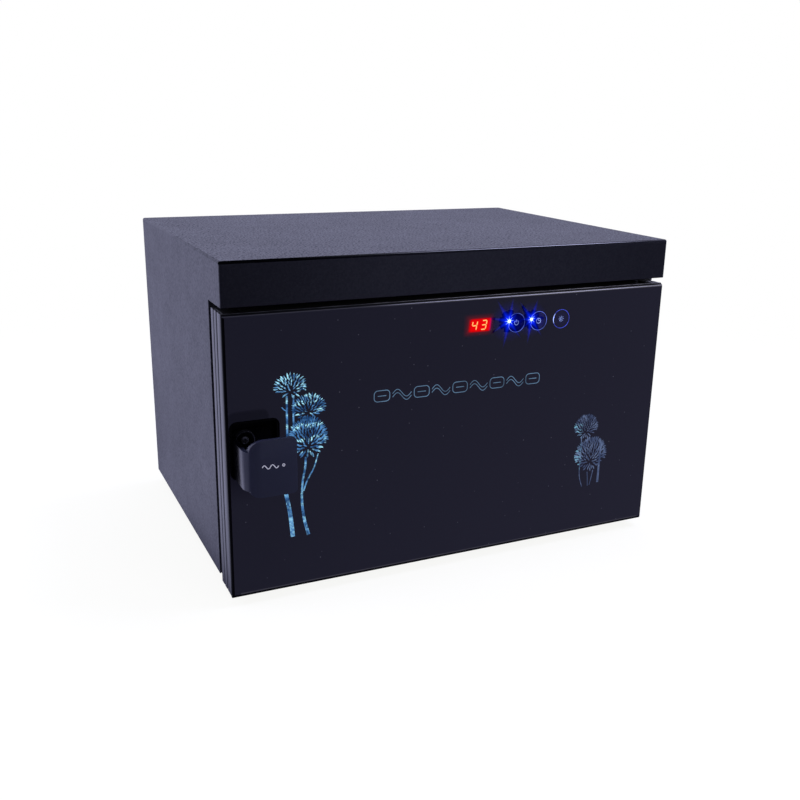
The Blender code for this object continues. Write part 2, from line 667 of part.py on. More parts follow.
def build_pull():
    x, z = PULL_ORIGIN_X, PULL_ORIGIN_Z
    pull = prism("handle_pull", [pull_section()], (x, -15, z), 60, "z", "plastic_grey")
    outline = prism("pull_outline", [pull_outline()], (x, -10, z), 80, "y")
    combine(pull, outline, "INTERSECT")
    join(pull, prism("pull_flange", [rounded((5.0, 38, 103.6, 140.2), 7.0, 6)],
                     (x, 6.15, z), 3.1, "y"))
    for name, x, z in BOSSES:
        join(pull, rod(f"boss_{name}", (x, 3.9, z), 7.9, 4.4, "y", sides=32))
        cut(pull, rod(f"boss_well_{name}", (x, 0.2, z), 5.0, 8.0, "y"))
        cut(pull, rod(f"boss_hole_{name}", (x, 6, z), HANDLE_HOLE_R, 12, "y", sides=16))


def build_handle_screws():
    """Cross-slotted screws in the bosses, heads to the front."""
    long, thin = 2.2, 0.45            # half length and half width of a slot
    for name, x, z in BOSSES:
        screw = turned(f"handle_screw_{name}", [
            (0, 2.4), (2.0, 2.2), (3.2, 1.4), (3.6, 0.3), (3.6, 0),
            (1.9, 0), (1.9, -8.0), (0.8, -9.4), (0, -9.4),
        ], (x, 3.9, z), "y", "steel", 20)
        for slot, half_x, half_z, y1 in (("a", long, thin, 2.6), ("b", thin, long, 2.65)):
            cut(screw, boxes(f"screw_slot_{slot}_{name}", (
                x - half_x, x + half_x, 0.5, y1, z - half_z, z + half_z,
            )))


def build_controls():
    """Board behind the glass, with the display and the spool-shaped touch pads."""
    box("control_board", 204, 326, 10.2, 11.8, 188, 217, "board")
    display = box("display_module", *span(DISPLAY, GLASS_T + GAP, 9.9), "display_red")
    bevel(display, 0.4, 1)
    for number, (x, z) in enumerate(TOUCH_PADS, 1):
        turned(f"touch_pad_{number}", [
            (0, 2.8), (6.4, 2.8), (6.4, 1.6), (3.6, 0.8),
            (3.6, -0.8), (5.2, -1.6), (5.2, -2.8), (0, -2.8),
        ], (x, 7.1, z), "y", "brass", 20)


# ---------------------------------------------------------------- moving groups
DOOR_PARTS = (
    "door_glass door_stile_left door_stile_right door_rail_top door_rail_bottom "
    "door_inner_panel door_gasket strike_plate handle_cup handle_pull handle_screw_upper "
    "handle_screw_lower control_board display_module touch_pad_1 touch_pad_2 touch_pad_3 "
    "hinge_bush_top hinge_bush_bottom stile_cap_top stile_cap_bottom"
).split()


def hang_moving_parts():
    hang("door_axis", (PIVOT_X, PIVOT_Y, DOOR_ORIGIN_Z), DOOR_PARTS)
    hang("lamp_axis", (WIDTH / 2, LAMP_Y, LAMP_Z),
         ("uv_lamp_tube", "lamp_cap_left", "lamp_cap_right"))
    hang("rack_axis", (WIDTH / 2, 170, RACK_Z), ("wire_rack",))
    hang("plunger_axis", (PLUNGER_X, PLUNGER_Y, PLUNGER_Z), ("interlock_plunger",))


build_shell()
build_back()
build_inlet()
build_base()
build_frame()
build_liner()
build_lamp()
build_rack_rails()
build_rack()
build_catch_and_interlock()
build_hinge_brackets()
build_door_faces()
build_stiles()
build_rails_and_bushes()
build_cup()
build_pull()
build_handle_screws()
build_controls()
hang_moving_parts()
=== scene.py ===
# A small countertop UV cabinet: a powder-coated shell, a printed black glass door with a pull,
# touch rings and a numeric display, and a chamber with a wire rack and a lamp tube.
# x runs across the width from the left, y from the door towards the back, z upwards.
from math import atan2, cos, exp, floor, hypot, pi, radians, sin, sqrt

import bmesh
import bpy
from mathutils import Matrix, Vector

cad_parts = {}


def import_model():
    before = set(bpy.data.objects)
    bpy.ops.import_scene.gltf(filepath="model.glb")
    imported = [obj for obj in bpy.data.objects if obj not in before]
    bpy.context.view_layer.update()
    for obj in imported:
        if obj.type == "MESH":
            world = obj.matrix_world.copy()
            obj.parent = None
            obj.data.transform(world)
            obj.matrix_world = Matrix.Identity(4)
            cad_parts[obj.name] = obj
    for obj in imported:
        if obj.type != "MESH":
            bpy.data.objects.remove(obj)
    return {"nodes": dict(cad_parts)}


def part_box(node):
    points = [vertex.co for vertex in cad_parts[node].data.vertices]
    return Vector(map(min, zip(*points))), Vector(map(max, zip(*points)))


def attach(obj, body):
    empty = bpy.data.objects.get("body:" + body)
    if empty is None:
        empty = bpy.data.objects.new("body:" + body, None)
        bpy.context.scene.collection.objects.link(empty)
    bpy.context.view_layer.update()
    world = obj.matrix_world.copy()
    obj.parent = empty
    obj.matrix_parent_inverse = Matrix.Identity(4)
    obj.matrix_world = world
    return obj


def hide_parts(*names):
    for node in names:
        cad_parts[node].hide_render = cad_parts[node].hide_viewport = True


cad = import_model()["nodes"]
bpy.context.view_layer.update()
scene = bpy.context.scene

# ------------------------------------------------------------------ frame references
MM = 0.001
# the cabinet's left side, the outer face of the door glass, the cabinet's underside
ORIGIN = (
    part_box("cabinet_shell")[0].x,
    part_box("door_glass")[0].y,
    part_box("base_panel")[0].z,
)


def point(x, y, z):
    """A place in the frame, from millimetres measured from ORIGIN."""
    return Vector([start + size * MM for start, size in zip(ORIGIN, (x, y, z))])


def box_mm(name):
    """The low and high corners of a CAD piece, in millimetres from ORIGIN."""
    return [[(v - start) / MM for v, start in zip(corner, ORIGIN)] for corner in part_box(name)]


def centre_xz(name):
    low, high = box_mm(name)
    return (low[0] + high[0]) / 2, (low[2] + high[2]) / 2


# ------------------------------------------------------------------ shader helpers
class Shader:
    """Short calls for making and linking nodes in one tree."""

    def __init__(self, tree):
        self.tree = tree

    def put(self, socket, value):
        """Links an output to the socket, or sets its value; colours gain an alpha of 1."""
        if isinstance(value, bpy.types.NodeSocket):
            self.tree.links.new(value, socket)
            return
        if socket.type == "RGBA" and len(value) == 3:
            value = (*value, 1)
        socket.default_value = value

    def node(self, kind, inputs=None, **settings):
        made = self.tree.nodes.new("ShaderNode" + kind)
        for key, value in settings.items():
            setattr(made, key, value)
        for key, value in (inputs or {}).items():
            self.put(made.inputs[key], value)
        return made

    def span(self, value, source=(0, 1), to=(0, 1), smooth=False):
        """Maps the source range to another, held at its ends."""
        ends = {"From Min": source[0], "From Max": source[1], "To Min": to[0], "To Max": to[1]}
        kind = "SMOOTHSTEP" if smooth else "LINEAR"
        made = self.node("MapRange", {"Value": value, **ends}, interpolation_type=kind)
        return made.outputs["Result"]

    def math(self, operation, *values):
        return self.node("Math", dict(enumerate(values)), operation=operation).outputs[0]

    def times(self, first, *others):
        for value in others:
            first = self.math("MULTIPLY", first, value)
        return first

    def plus(self, a, b):
        return self.math("ADD", a, b)

    def inverse(self, value):
        return self.math("SUBTRACT", 1.0, value)

    def mix(self, factor, a, b):
        """Colour a where the factor is 0, colour b where it is 1."""
        return self.node("Mix", {0: factor, 6: a, 7: b}, data_type="RGBA").outputs[2]

    def mix_shader(self, factor, a, b):
        return self.node("MixShader", {0: factor, 1: a, 2: b}).outputs[0]

    def emission(self, colour, strength):
        return self.node("Emission", {"Color": colour, "Strength": strength}).outputs[0]


SOCKETS = {
    "colour": "Base Color",
    "rough": "Roughness",
    "metal": "Metallic",
    "specular": "Specular IOR Level",
    "tint": "Specular Tint",
    "emit": "Emission Color",
    "strength": "Emission Strength",
    "transmission": "Transmission Weight",
    "ior": "IOR",
}


class Material(Shader):
    """A node material. Its places are in the named CAD piece's own space, or in the frame's."""

    def __init__(self, name, piece=None):
        self.mat = bpy.data.materials.new(name)
        self.mat.use_nodes = True
        super().__init__(self.mat.node_tree)
        self.bsdf = self.tree.nodes["Principled BSDF"]
        self.geo = self.node("NewGeometry").outputs
        self.object = self.node("TexCoord").outputs["Object"]
        self.piece = piece

    def position(self, scale, rotation=(0, 0, 0)):
        inputs = {"Scale": scale, "Rotation": rotation, "Vector": self.object}
        return self.node("Mapping", inputs).outputs["Vector"]

    def noise(self, scale, detail=4.0, rough=0.55, vector=None, distortion=0.0):
        inputs = {
            "Scale": scale,
            "Detail": detail,
            "Roughness": rough,
            "Distortion": distortion,
            "Vector": vector or self.object,
        }
        return self.node("TexNoise", inputs).outputs["Fac"]

    def voronoi(self, scale, feature="F1"):
        inputs = {"Scale": scale, "Vector": self.object}
        return self.node("TexVoronoi", inputs, feature=feature).outputs["Distance"]

    def axis(self, which, vector=None):
        return self.node("SeparateXYZ", {0: vector or self.object}).outputs[which.upper()]

    def place(self, **at):
        spot = point(*(at.get(axis, 0) for axis in "xyz"))
        return cad[self.piece].matrix_world.inverted() @ spot if self.piece else spot

    def along(self, axis, ends, to=(0, 1)):
        """Grades between two places in mm along an axis."""
        ends = [getattr(self.place(**{axis: end}), axis) for end in ends]
        return self.span(self.axis(axis), ends, to)

    def edges(self, source):
        """Brightens where the surface is convex, as rubbed edges are."""
        return self.span(self.geo["Pointiness"], source)

    def attribute(self, name):
        return self.node("Attribute", attribute_name=name).outputs["Fac"]

    def surface(self, bumps=(), **looks):
        """Sets the principled shader; each bump is (height, strength, distance in metres)."""
        for key, value in looks.items():
            self.put(self.bsdf.inputs[SOCKETS[key]], value)
        target = None
        for height, strength, distance in bumps:
            inputs = {"Height": height, "Strength": strength, "Distance": distance}
            if target:
                inputs["Normal"] = target
            target = self.node("Bump", inputs).outputs["Normal"]
        if target:
            self.put(self.bsdf.inputs["Normal"], target)
        return self.mat

    def output(self, shader):
        self.put(self.tree.nodes["Material Output"].inputs["Surface"], shader)
        return self.mat

    def light_over(self, colour, strength, clear):
        """Emission added over a transparent surface of the clear colour."""
        emit = self.emission(colour, strength)
        behind = self.node("BsdfTransparent", {"Color": clear}).outputs[0]
        return self.output(self.node("AddShader", {0: emit, 1: behind}).outputs[0])


def scaled(colour, factor, offset=0.0):
    return tuple(min(1, c * factor + offset) for c in colour)


# ------------------------------------------------------------------ materials
def powder(name, shell=None):
    """Fine-textured powder coat. On the shell, the fold along the top of the fascia is
    smoother, with a painted highlight and a painted dark line; painted shade darkens
    the ends of the fascia and the lower back."""
    mat = Material(name, shell)
    fine = mat.noise(1500, detail=3, rough=0.6)
    grain = mat.noise(560, detail=2, rough=0.5)
    pebble = mat.voronoi(900, feature="SMOOTH_F1")
    cloud = mat.span(mat.noise(7, rough=0.6), (0.3, 0.7))
    base = mat.mix(cloud, (0.0080, 0.0084, 0.0140), (0.0122, 0.0126, 0.0195))
    pits = mat.mix(0.15, base, (0.003, 0.003, 0.006))
    base = mat.mix(mat.span(grain, (0.35, 0.65)), pits, base)
    colour = mat.mix(mat.span(fine, (0.62, 0.72)), base, (0.034, 0.036, 0.047))
    wear = mat.times(mat.edges((0.56, 0.7)), mat.span(mat.noise(60, detail=5), (0.5, 0.7)))
    rough = mat.span(mat.noise(45, detail=5), to=(0.42, 0.55))
    # the grain is deeper on the top sheet than on the sides
    flat = mat.span(mat.axis("z", mat.geo["True Normal"]), (0.90, 0.98))
    side_speck = mat.span(grain, (0.39, 0.61), to=(0.40, 0.94))
    top_speck = mat.span(grain, (0.40, 0.60), to=(0.03, 1.33))
    slow = mat.span(mat.noise(8), (0.35, 0.65), to=(0.86, 1.14))
    level = mat.times(mat.mix(flat, side_speck, top_speck), slow)
    if shell:
        fold = mat.times(mat.along("y", (4.7, 5.3), (1, 0)), mat.along("z", (271.0, 271.6)))
        rest = mat.inverse(fold)
        # painted shade: the fascia is coloured darker towards both ends, most at the left, and its
        # sheen is dimmed there as well
        front = mat.along("y", (3.4, 4.0), (1, 0))
        painted_shade_left = mat.along("x", (0, 190), (0.42, 0.90))
        painted_shade_right = mat.along("x", (250, 420), (0.90, 0.64))
        ends = mat.math("MINIMUM", painted_shade_left, painted_shade_right)
        painted_fascia_shade = mat.inverse(mat.times(front, rest, mat.inverse(ends)))
        # painted shade: the shell's sheen is dimmed low down towards the back
        low = mat.times(mat.along("y", (120, 305), (0, 0.26)), mat.along("z", (20, 190), (1, 0)))
        shade = mat.times(painted_fascia_shade, mat.inverse(low))
        colour = mat.mix(painted_fascia_shade, (0.001, 0.001, 0.002), colour)
        rough = mat.plus(mat.times(rough, rest), mat.times(fold, 0.13))
        # painted highlight and painted shade on the fold: a painted dark line where it rolls over,
        # then a painted highlight, stronger towards the right
        tilt = mat.axis("z", mat.geo["Normal"])
        rising = mat.span(tilt, (0.80, 0.88))
        painted_dark_lip = mat.times(rising, mat.span(tilt, (0.9990, 0.9999), to=(1, 0)), fold)
        painted_highlight = mat.times(fold, mat.along("x", (60, 330)), mat.inverse(painted_dark_lip))
        even = mat.times(front, 0.8)
        level = mat.plus(mat.times(level, mat.inverse(even)), mat.times(even, 0.64))
        level = mat.plus(mat.times(painted_highlight, 0.95), mat.times(level, shade, rest))
        # painted shade: the fold is coloured near black wherever the painted highlight is weak
        painted_unlit_fold = mat.times(fold, mat.inverse(painted_highlight))
        colour = mat.mix(painted_unlit_fold, colour, (0.001, 0.001, 0.0015))
        pebble, fine, grain = [mat.times(height, rest) for height in (pebble, fine, grain)]
    return mat.surface(
        colour=mat.mix(wear, colour, (0.05, 0.05, 0.06)),
        rough=rough,
        specular=level,
        tint=(0.90, 0.91, 1.0),
        bumps=((grain, 0.45, 0.00012), (pebble, 0.20, 0.0003), (fine, 0.30, 0.00012)),
    )


def panel_glass(name, lit=0.0):
    """Black printed glass. As a painted highlight, the bevel along its top glows by lit at its
    right-hand end.
    """
    mat = Material(name)
    if lit:
        mat.surface(
            emit=mat.mix(mat.noise(40, detail=2), (0.88, 0.86, 1.0), (1.0, 0.98, 1.0)),
            strength=mat.along("x", (110, 300), (0, lit)),
        )
    # painted reflection: the glass is coloured lighter towards the right and towards the bottom
    where = mat.plus(mat.along("x", (0, 417), (0, 0.6)), mat.along("z", (0, 233), (0.4, 0)))
    early = mat.span(where, (0, 0.24), to=(0, 0.36))
    tone = mat.plus(early, mat.span(where, (0.24, 1), to=(0, 0.64)))
    cloud = mat.span(mat.noise(3.5, detail=2), (0.35, 0.65), to=(-0.06, 0.06))
    tone = mat.plus(tone, cloud)
    base = mat.mix(tone, (0.0108, 0.0108, 0.0180), (0.0196, 0.0190, 0.0302))
    # dust specks sit in some of the cells across the face of the door
    place = mat.node("SeparateXYZ", {0: mat.object}).outputs
    flat = mat.node("CombineXYZ", {"X": place["X"], "Y": place["Z"]}).outputs[0]
    cells = {"Scale": 62, "Vector": flat}
    cell = mat.node("TexVoronoi", cells, feature="F1", voronoi_dimensions="2D").outputs
    pick = mat.node("SeparateColor", {0: cell["Color"]}).outputs
    dust = mat.times(
        mat.span(cell["Distance"], (0.010, 0.040), to=(1, 0)),
        mat.math("GREATER_THAN", pick[0], 0.74),
        mat.span(pick[1], to=(0.12, 0.75)),
    )
    fluff = mat.span(mat.noise(420, detail=2), (0.60, 0.78), to=(0, 0.010))
    smear = mat.noise(9, detail=6, rough=0.65, vector=mat.position((1, 1, 2.4)))
    return mat.surface(
        colour=mat.mix(dust, mat.mix(fluff, base, (0.3, 0.3, 0.34)), (0.15, 0.15, 0.18)),
        rough=mat.span(smear, (0.35, 0.7), to=(0.04, 0.11)),
        specular=0.40,
        tint=(0.94, 0.92, 1.0),
        bumps=((mat.noise(2.2, detail=1), 0.02, 0.002),),
    )


def painted_dark_bevel(name):
    """The panel's bevel, painted black as painted shade, with almost no reflection."""
    mat = Material(name)
    grit = mat.noise(500, detail=3)
    return mat.surface(
        colour=mat.mix(grit, (0.0006, 0.0006, 0.0012), (0.0016, 0.0016, 0.0026)),
        rough=mat.span(grit, to=(0.30, 0.45)),
        specular=0.05,
        bumps=((grit, 0.05, 0.00005),),
    )


def painted_rim_glint(name):
    """A painted highlight: the thin broken line of light along the panel's rear top edge."""
    mat = Material(name)
    broken = mat.noise(48, detail=3)
    lit = mat.span(broken, (0.42, 0.58))
    return mat.surface(
        colour=mat.mix(broken, (0.006, 0.006, 0.009), (0.014, 0.014, 0.019)),
        emit=mat.mix(lit, (0.040, 0.039, 0.050), (0.150, 0.146, 0.180)),
        strength=mat.along("x", (70, 330), (0.06, 1.0)),
        rough=mat.span(broken, to=(0.25, 0.40)),
    )


def recess_plastic_painted_shade(name):
    """Deep black moulding that gives almost nothing back, its reflection cut as painted shade for
    the recess.
    """
    mat = Material(name)
    grain = mat.noise(900, detail=3)
    cloud = mat.noise(20, detail=3)
    return mat.surface(
        colour=mat.mix(cloud, (0.0005, 0.0005, 0.0008), (0.0014, 0.0014, 0.002)),
        rough=mat.span(grain, to=(0.35, 0.55)),
        specular=0.045,
        bumps=((grain, 0.12, 0.0001),),
    )


def pull_plastic(name, bosses):
    """Satin grey outside, black in the recess as painted shade, with a painted highlight on the rim
    of each boss.
    """
    mat = Material(name, "handle_pull")
    # painted shade: where the pull lies back in the recess it is coloured black with its reflection
    # cut
    deep = mat.along("y", (-29.0, -18.5))
    cloud = mat.span(mat.noise(22), (0.35, 0.65))
    outside = mat.mix(cloud, (0.0180, 0.0198, 0.0375), (0.0208, 0.0226, 0.0425))
    scuff = mat.span(mat.noise(160, detail=5), (0.60, 0.78), to=(0, 0.35))
    outside = mat.mix(scuff, outside, (0.024, 0.025, 0.036))
    # painted highlight: a bright ring round each boss, only inside the recess
    rim = None
    for x, z in bosses:
        at = mat.place(x=x, z=z)
        across = mat.math("SUBTRACT", mat.axis("x"), at.x)
        up = mat.math("SUBTRACT", mat.axis("z"), at.z)
        radius = mat.math("SQRT", mat.plus(mat.times(across, across), mat.times(up, up)))
        inner = mat.span(radius, (0.0070, 0.0075))
        painted_boss_glint = mat.times(inner, mat.span(radius, (0.0081, 0.0083), to=(1, 0)))
        rim = mat.math("MAXIMUM", rim, painted_boss_glint) if rim else painted_boss_glint
    rim = mat.times(rim, deep)
    body = mat.mix(deep, outside, (0.0006, 0.0006, 0.0010))
    return mat.surface(
        colour=mat.mix(rim, body, (0.010, 0.010, 0.014)),
        specular=mat.plus(mat.span(deep, to=(0.27, 0.03)), mat.times(rim, 0.55)),
        rough=mat.span(mat.noise(80, detail=5), to=(0.17, 0.24)),
        tint=(0.90, 0.92, 1.0),
        bumps=((mat.noise(1500, detail=3, rough=0.6), 0.05, 0.00012),),
    )


def moulded(name, colour, rough, grain, depth):
    """Moulded or painted skin with a grain of the given scale and bump strength."""
    mat = Material(name)
    cloud = mat.span(mat.noise(22), (0.35, 0.65))
    body = mat.mix(cloud, scaled(colour, 0.82), scaled(colour, 1.16))
    wear = mat.times(mat.edges((0.56, 0.68)), mat.span(mat.noise(120), (0.45, 0.7)), 0.5)
    return mat.surface(
        colour=mat.mix(wear, body, scaled(colour, 1.8, 0.02)),
        rough=mat.span(mat.noise(80, detail=5), to=(rough - 0.06, rough + 0.08)),
        bumps=((mat.noise(grain, detail=3, rough=0.6), depth, 0.00012),),
    )


def brushed(name, colour, rough, direction, depth, metal=1.0):
    """Metal with fine lines running along one axis."""
    mat = Material(name)
    stretch = tuple(3 if axis == direction else 260 for axis in "xyz")
    lines = mat.noise(4, detail=6, rough=0.7, vector=mat.position(stretch))
    cloud = mat.span(mat.noise(14, detail=3), to=(0, 0.35))
    shade = mat.mix(mat.span(lines, (0.3, 0.7)), scaled(colour, 0.8), scaled(colour, 1.15))
    return mat.surface(
        colour=mat.mix(cloud, shade, scaled(colour, 0.72)),
        metal=metal,
        rough=mat.span(lines, to=(rough - 0.07, rough + 0.1)),
        bumps=((lines, depth, 0.00008),),
    )


def plated(name, colour, rough, metal=1.0, wobble=0.02, spots=0.3):
    """Smooth metal with darker spots and a slow wobble in its surface."""
    mat = Material(name)
    dark = mat.span(mat.noise(18, detail=5), (0.5, 0.75), to=(0, spots))
    smear = mat.noise(30, detail=6, rough=0.7)
    return mat.surface(
        colour=mat.mix(dark, colour, scaled(colour, 0.7)),
        metal=metal,
        rough=mat.span(smear, (0.35, 0.75), to=(rough, rough + 0.09)),
        bumps=(
            (mat.noise(6, detail=2), wobble, 0.002),
            (mat.noise(700, detail=2), 0.03, 0.00005),
        ),
    )


def rubber(name):
    mat = Material(name)
    cloud = mat.span(mat.noise(60, detail=5), (0.35, 0.7))
    return mat.surface(
        colour=mat.mix(cloud, (0.012, 0.012, 0.0126), (0.0288, 0.0288, 0.030)),
        rough=mat.span(mat.noise(200), to=(0.68, 0.88)),
        bumps=((mat.noise(1200, detail=3), 0.25, 0.0001), (mat.voronoi(300), 0.1, 0.0001)),
    )


def glow(name, colour, strength, base, scale, vary):
    """A lit print on a base colour: its emission varies by a share, in noise of a scale."""
    mat = Material(name)
    cloud = mat.noise(scale)
    dimmer = scaled(colour, 1 - vary) if max(colour) <= 1 else tuple(c * (1 - vary) for c in colour)
    return mat.surface(
        colour=mat.mix(mat.span(cloud, to=(0, 0.4)), base, scaled(base, 1.5)),
        emit=mat.mix(mat.span(cloud, (0.3, 0.7)), dimmer, colour),
        strength=strength,
        rough=mat.span(cloud, to=(0.15, 0.3)),
        bumps=((cloud, 0.05, 0.0001),),
    )


def foil(name, accent, middle, deep, strength, fade=None):
    """Metallic print that glows as painted light: a blue ground that shifts to pale cyan
    in bands of painted glare, as foil does in the light. The bands end at the two x
    places of fade, or else strengthen upwards."""
    mat = Material(name)
    ground = mat.noise(150, detail=5, rough=0.6, distortion=0.6)
    streak = mat.noise(460, detail=3, rough=0.6)
    slanted = mat.position((0.55, 1, 2.1), (0, 0.5, 0))
    bands = mat.noise(24, detail=3, rough=0.5, vector=slanted)
    colour = mat.mix(mat.span(ground, (0.42, 0.60)), deep, middle)
    painted_highlight = mat.times(mat.span(bands, (0.46, 0.56)), mat.span(streak, (0.44, 0.60)))
    if fade:
        painted_highlight = mat.times(painted_highlight, mat.along("x", fade, (1, 0)))
    else:
        turn = mat.plus(mat.times(mat.axis("z"), 560.0), mat.times(mat.noise(40, detail=3), 11.0))
        crests = mat.span(mat.math("SINE", turn), (0.35, 0.95))
        glare = mat.times(crests, mat.span(streak, (0.44, 0.60)))
        painted_highlight = mat.times(mat.math("MAXIMUM", painted_highlight, glare), mat.along("z", (98, 116), (0.5, 1.0)))
    colour = mat.mix(painted_highlight, colour, accent)
    return mat.surface(
        colour=mat.mix(0.85, colour, (0.01, 0.02, 0.03)),
        metal=0.5,
        rough=mat.span(ground, to=(0.25, 0.45)),
        emit=colour,
        strength=strength,
        bumps=((streak, 0.2, 0.0001),),
    )


def star_light(name, colour, strength, power):
    """Light that follows the fade attribute, raised to a power."""
    mat = Material(name)
    soft = mat.math("POWER", mat.attribute("fade"), power)
    soft = mat.times(soft, mat.span(mat.noise(500, detail=2), to=(0.85, 1.0)), strength)
    return mat.light_over(colour, soft, (1, 1, 1))


def lit_window(name):
    """Red light behind the panel, turning violet where the tone attribute rises."""
    mat = Material(name)
    fade = mat.attribute("fade")
    colour = mat.mix(mat.attribute("tone"), (0.86, 0.0012, 0.0035), (0.40, 0.005, 0.12))
    strength = mat.times(fade, mat.span(mat.noise(260, detail=3), to=(0.88, 1.04)))
    return mat.light_over(colour, strength, mat.mix(fade, (1.0, 1.0, 1.0), (0.0, 0.0, 0.0)))


def tube_glass(name):
    """Clear tube, hazed dark towards both ends."""
    mat = Material(name)
    ends = mat.span(mat.math("ABSOLUTE", mat.axis("x")), (0.108, 0.136))
    haze = mat.times(ends, mat.span(mat.noise(90, detail=5), to=(0.25, 0.9)))
    return mat.surface(
        colour=mat.mix(haze, (0.80, 0.86, 0.93), (0.16, 0.15, 0.15)),
        rough=mat.span(mat.noise(60), to=(0.08, 0.2)),
        transmission=mat.span(haze, to=(0.72, 0.2)),
        ior=1.46,
        bumps=((mat.noise(25, detail=2), 0.04, 0.0005),),
    )


# ------------------------------------------------------------------ finishes of the CAD pieces
BROAD = (
    "cabinet_shell", "back_panel", "base_panel", "front_frame", "hood_bottom_plate",
    "chamber_liner",
)


def finish(material, **bevels):
    """Paints CAD pieces. Each has its edge radius in mm, or 0 for an edge left as it is."""
    for name, width in bevels.items():
        piece = cad[name]
        piece.data.materials.clear()
        piece.data.materials.append(material)
        for face in piece.data.polygons:
            face.material_index = 0
        if not width:
            continue
        weld = piece.modifiers.new("weld", "WELD")
        weld.merge_threshold = 2e-6
        bevel = piece.modifiers.new("edges", "BEVEL")
        bevel.width = width * MM
        bevel.segments = 2
        bevel.limit_method = "ANGLE"
        bevel.angle_limit = radians(32)
        bevel.harden_normals = True
        for face in piece.data.polygons:
            square = max(abs(c) for c in face.normal) > 0.9999
            face.use_smooth = not (name in BROAD and square)


POWDER = powder("powder_coat")
GLASS = panel_glass("panel_gloss")
MIRROR = plated("mirror_steel", (0.78, 0.79, 0.80), 0.16, metal=0.62, wobble=0.05, spots=0.18)
CHROME = plated("chrome_wire", (0.78, 0.79, 0.81), 0.09, metal=0.80)
STEEL = brushed("zinc_steel", (0.52, 0.52, 0.53), 0.3, "x", depth=0.1)

finish(powder("powder_coat_shell", "cabinet_shell"), cabinet_shell=0.35)
finish(POWDER, back_panel=0.3, base_panel=0.2)
finish(
    moulded("frame_paint", (0.012, 0.012, 0.014), rough=0.42, grain=1400, depth=0.2),
    hood_bottom_plate=0.2, front_frame=0.3, hinge_bracket_top=0.25, hinge_bracket_bottom=0.25,
)
finish(GLASS, door_glass=0)
finish(
    brushed("anodised_trim", (0.086, 0.088, 0.094), 0.34, "z", depth=0.1, metal=0.85),
    door_stile_left=0.2, door_stile_right=0.2, door_rail_top=0.55, door_rail_bottom=0.25,
)
finish(recess_plastic_painted_shade("cup_plastic_painted_shade"), handle_cup=0.5)
finish(
    moulded("black_moulding", (0.006, 0.006, 0.0075), rough=0.42, grain=1100, depth=0.12),
    stile_cap_top=0, stile_cap_bottom=0, power_inlet=0.4, interlock_switch=0.6,
    hinge_bush_top=0.4, hinge_bush_bottom=0.4,
)
SCREWS = [centre_xz(f"handle_screw_{side}") for side in ("upper", "lower")]
finish(pull_plastic("pull_plastic", SCREWS), handle_pull=0.6)
finish(
    MIRROR, chamber_liner=0.3, lamp_reflector=0.15, rack_rail_left=0.25, rack_rail_right=0.25,
    door_inner_panel=0.3,
)
finish(CHROME, wire_rack=0)
finish(STEEL, strike_plate=0.4, rear_screw_1=0, rear_screw_2=0, rear_screw_3=0, rear_screw_4=0)
finish(
    brushed("blackened_steel", (0.14, 0.14, 0.16), 0.22, "x", depth=0.05, metal=0.9),
    handle_screw_upper=0, handle_screw_lower=0,
)
finish(plated("galvanised_can", (0.45, 0.46, 0.47), 0.35, metal=0.9, spots=0.8), ballast=0.3)
finish(
    rubber("black_rubber"), door_gasket=1.2, foot_front_left=0, foot_front_right=0,
    foot_rear_left=0, foot_rear_right=0,
)
finish(
    moulded("white_nylon", (0.72, 0.71, 0.68), rough=0.42, grain=900, depth=0.08),
    interlock_plunger=0,
)
finish(
    moulded("white_holder", (0.76, 0.75, 0.72), rough=0.33, grain=1200, depth=0.06),
    lamp_socket_left=0.8, lamp_socket_right=0.8, uv_lamp_tube=0,
)
finish(
    brushed("cap_aluminium", (0.70, 0.70, 0.71), 0.26, "x", depth=0.06),
    lamp_cap_left=0, lamp_cap_right=0,
)
finish(
    moulded("circuit_board", (0.015, 0.10, 0.04), rough=0.45, grain=500, depth=0.3),
    control_board=0.15,
)
finish(plated("pad_brass", (0.62, 0.45, 0.18), 0.2), touch_pad_1=0, touch_pad_2=0, touch_pad_3=0)
finish(
    moulded("ferrite", (0.03, 0.028, 0.027), rough=0.6, grain=700, depth=0.4),
    catch_magnet=0.3,
)
finish(
    moulded("display_block", (0.10, 0.006, 0.005), rough=0.3, grain=900, depth=0.05),
    display_module=0.2,
)


# ------------------------------------------------------------------ mesh helpers, all in mm
def add(name, mesh, material, body, smooth=True):
    data = bpy.data.meshes.new(name)
    bmesh.ops.recalc_face_normals(mesh, faces=mesh.faces)
    mesh.to_mesh(data)
    mesh.free()
    if smooth:
        for face in data.polygons:
            face.use_smooth = True
        data.set_sharp_from_angle(angle=radians(32))
    made = bpy.data.objects.new(name, data)
    scene.collection.objects.link(made)
    data.materials.append(material)
    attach(made, body)
    return made


def add_print(name, mesh, material):
    add(name, mesh, material, "door", smooth=False)


def flatten_faces(made, limit):
    """Flat shading on the faces that look along y."""
    for face in made.data.polygons:
        if abs(face.normal.y) > limit:
            face.use_smooth = False


def turns(count):
    """Angles evenly round a full turn."""
    return [2 * pi * k / count for k in range(count)]


def polar(x, z, radius, angle):
    return x + radius * cos(angle), z + radius * sin(angle)


def rounded(x0, x1, z0, z1, radius, steps=6):
    """The outline of a rounded rectangle."""
    left, right, low, high = x0 + radius, x1 - radius, z0 + radius, z1 - radius
    corners = ((right, high, 0), (left, high, 90), (left, low, 180), (right, low, 270))
    return [
        polar(x, z, radius, radians(start + 90 * k / steps))
        for x, z, start in corners
        for k in range(steps + 1)
    ]


def outline_verts(mesh, outline, y):
    return [mesh.verts.new(point(x, y, z)) for x, z in outline]


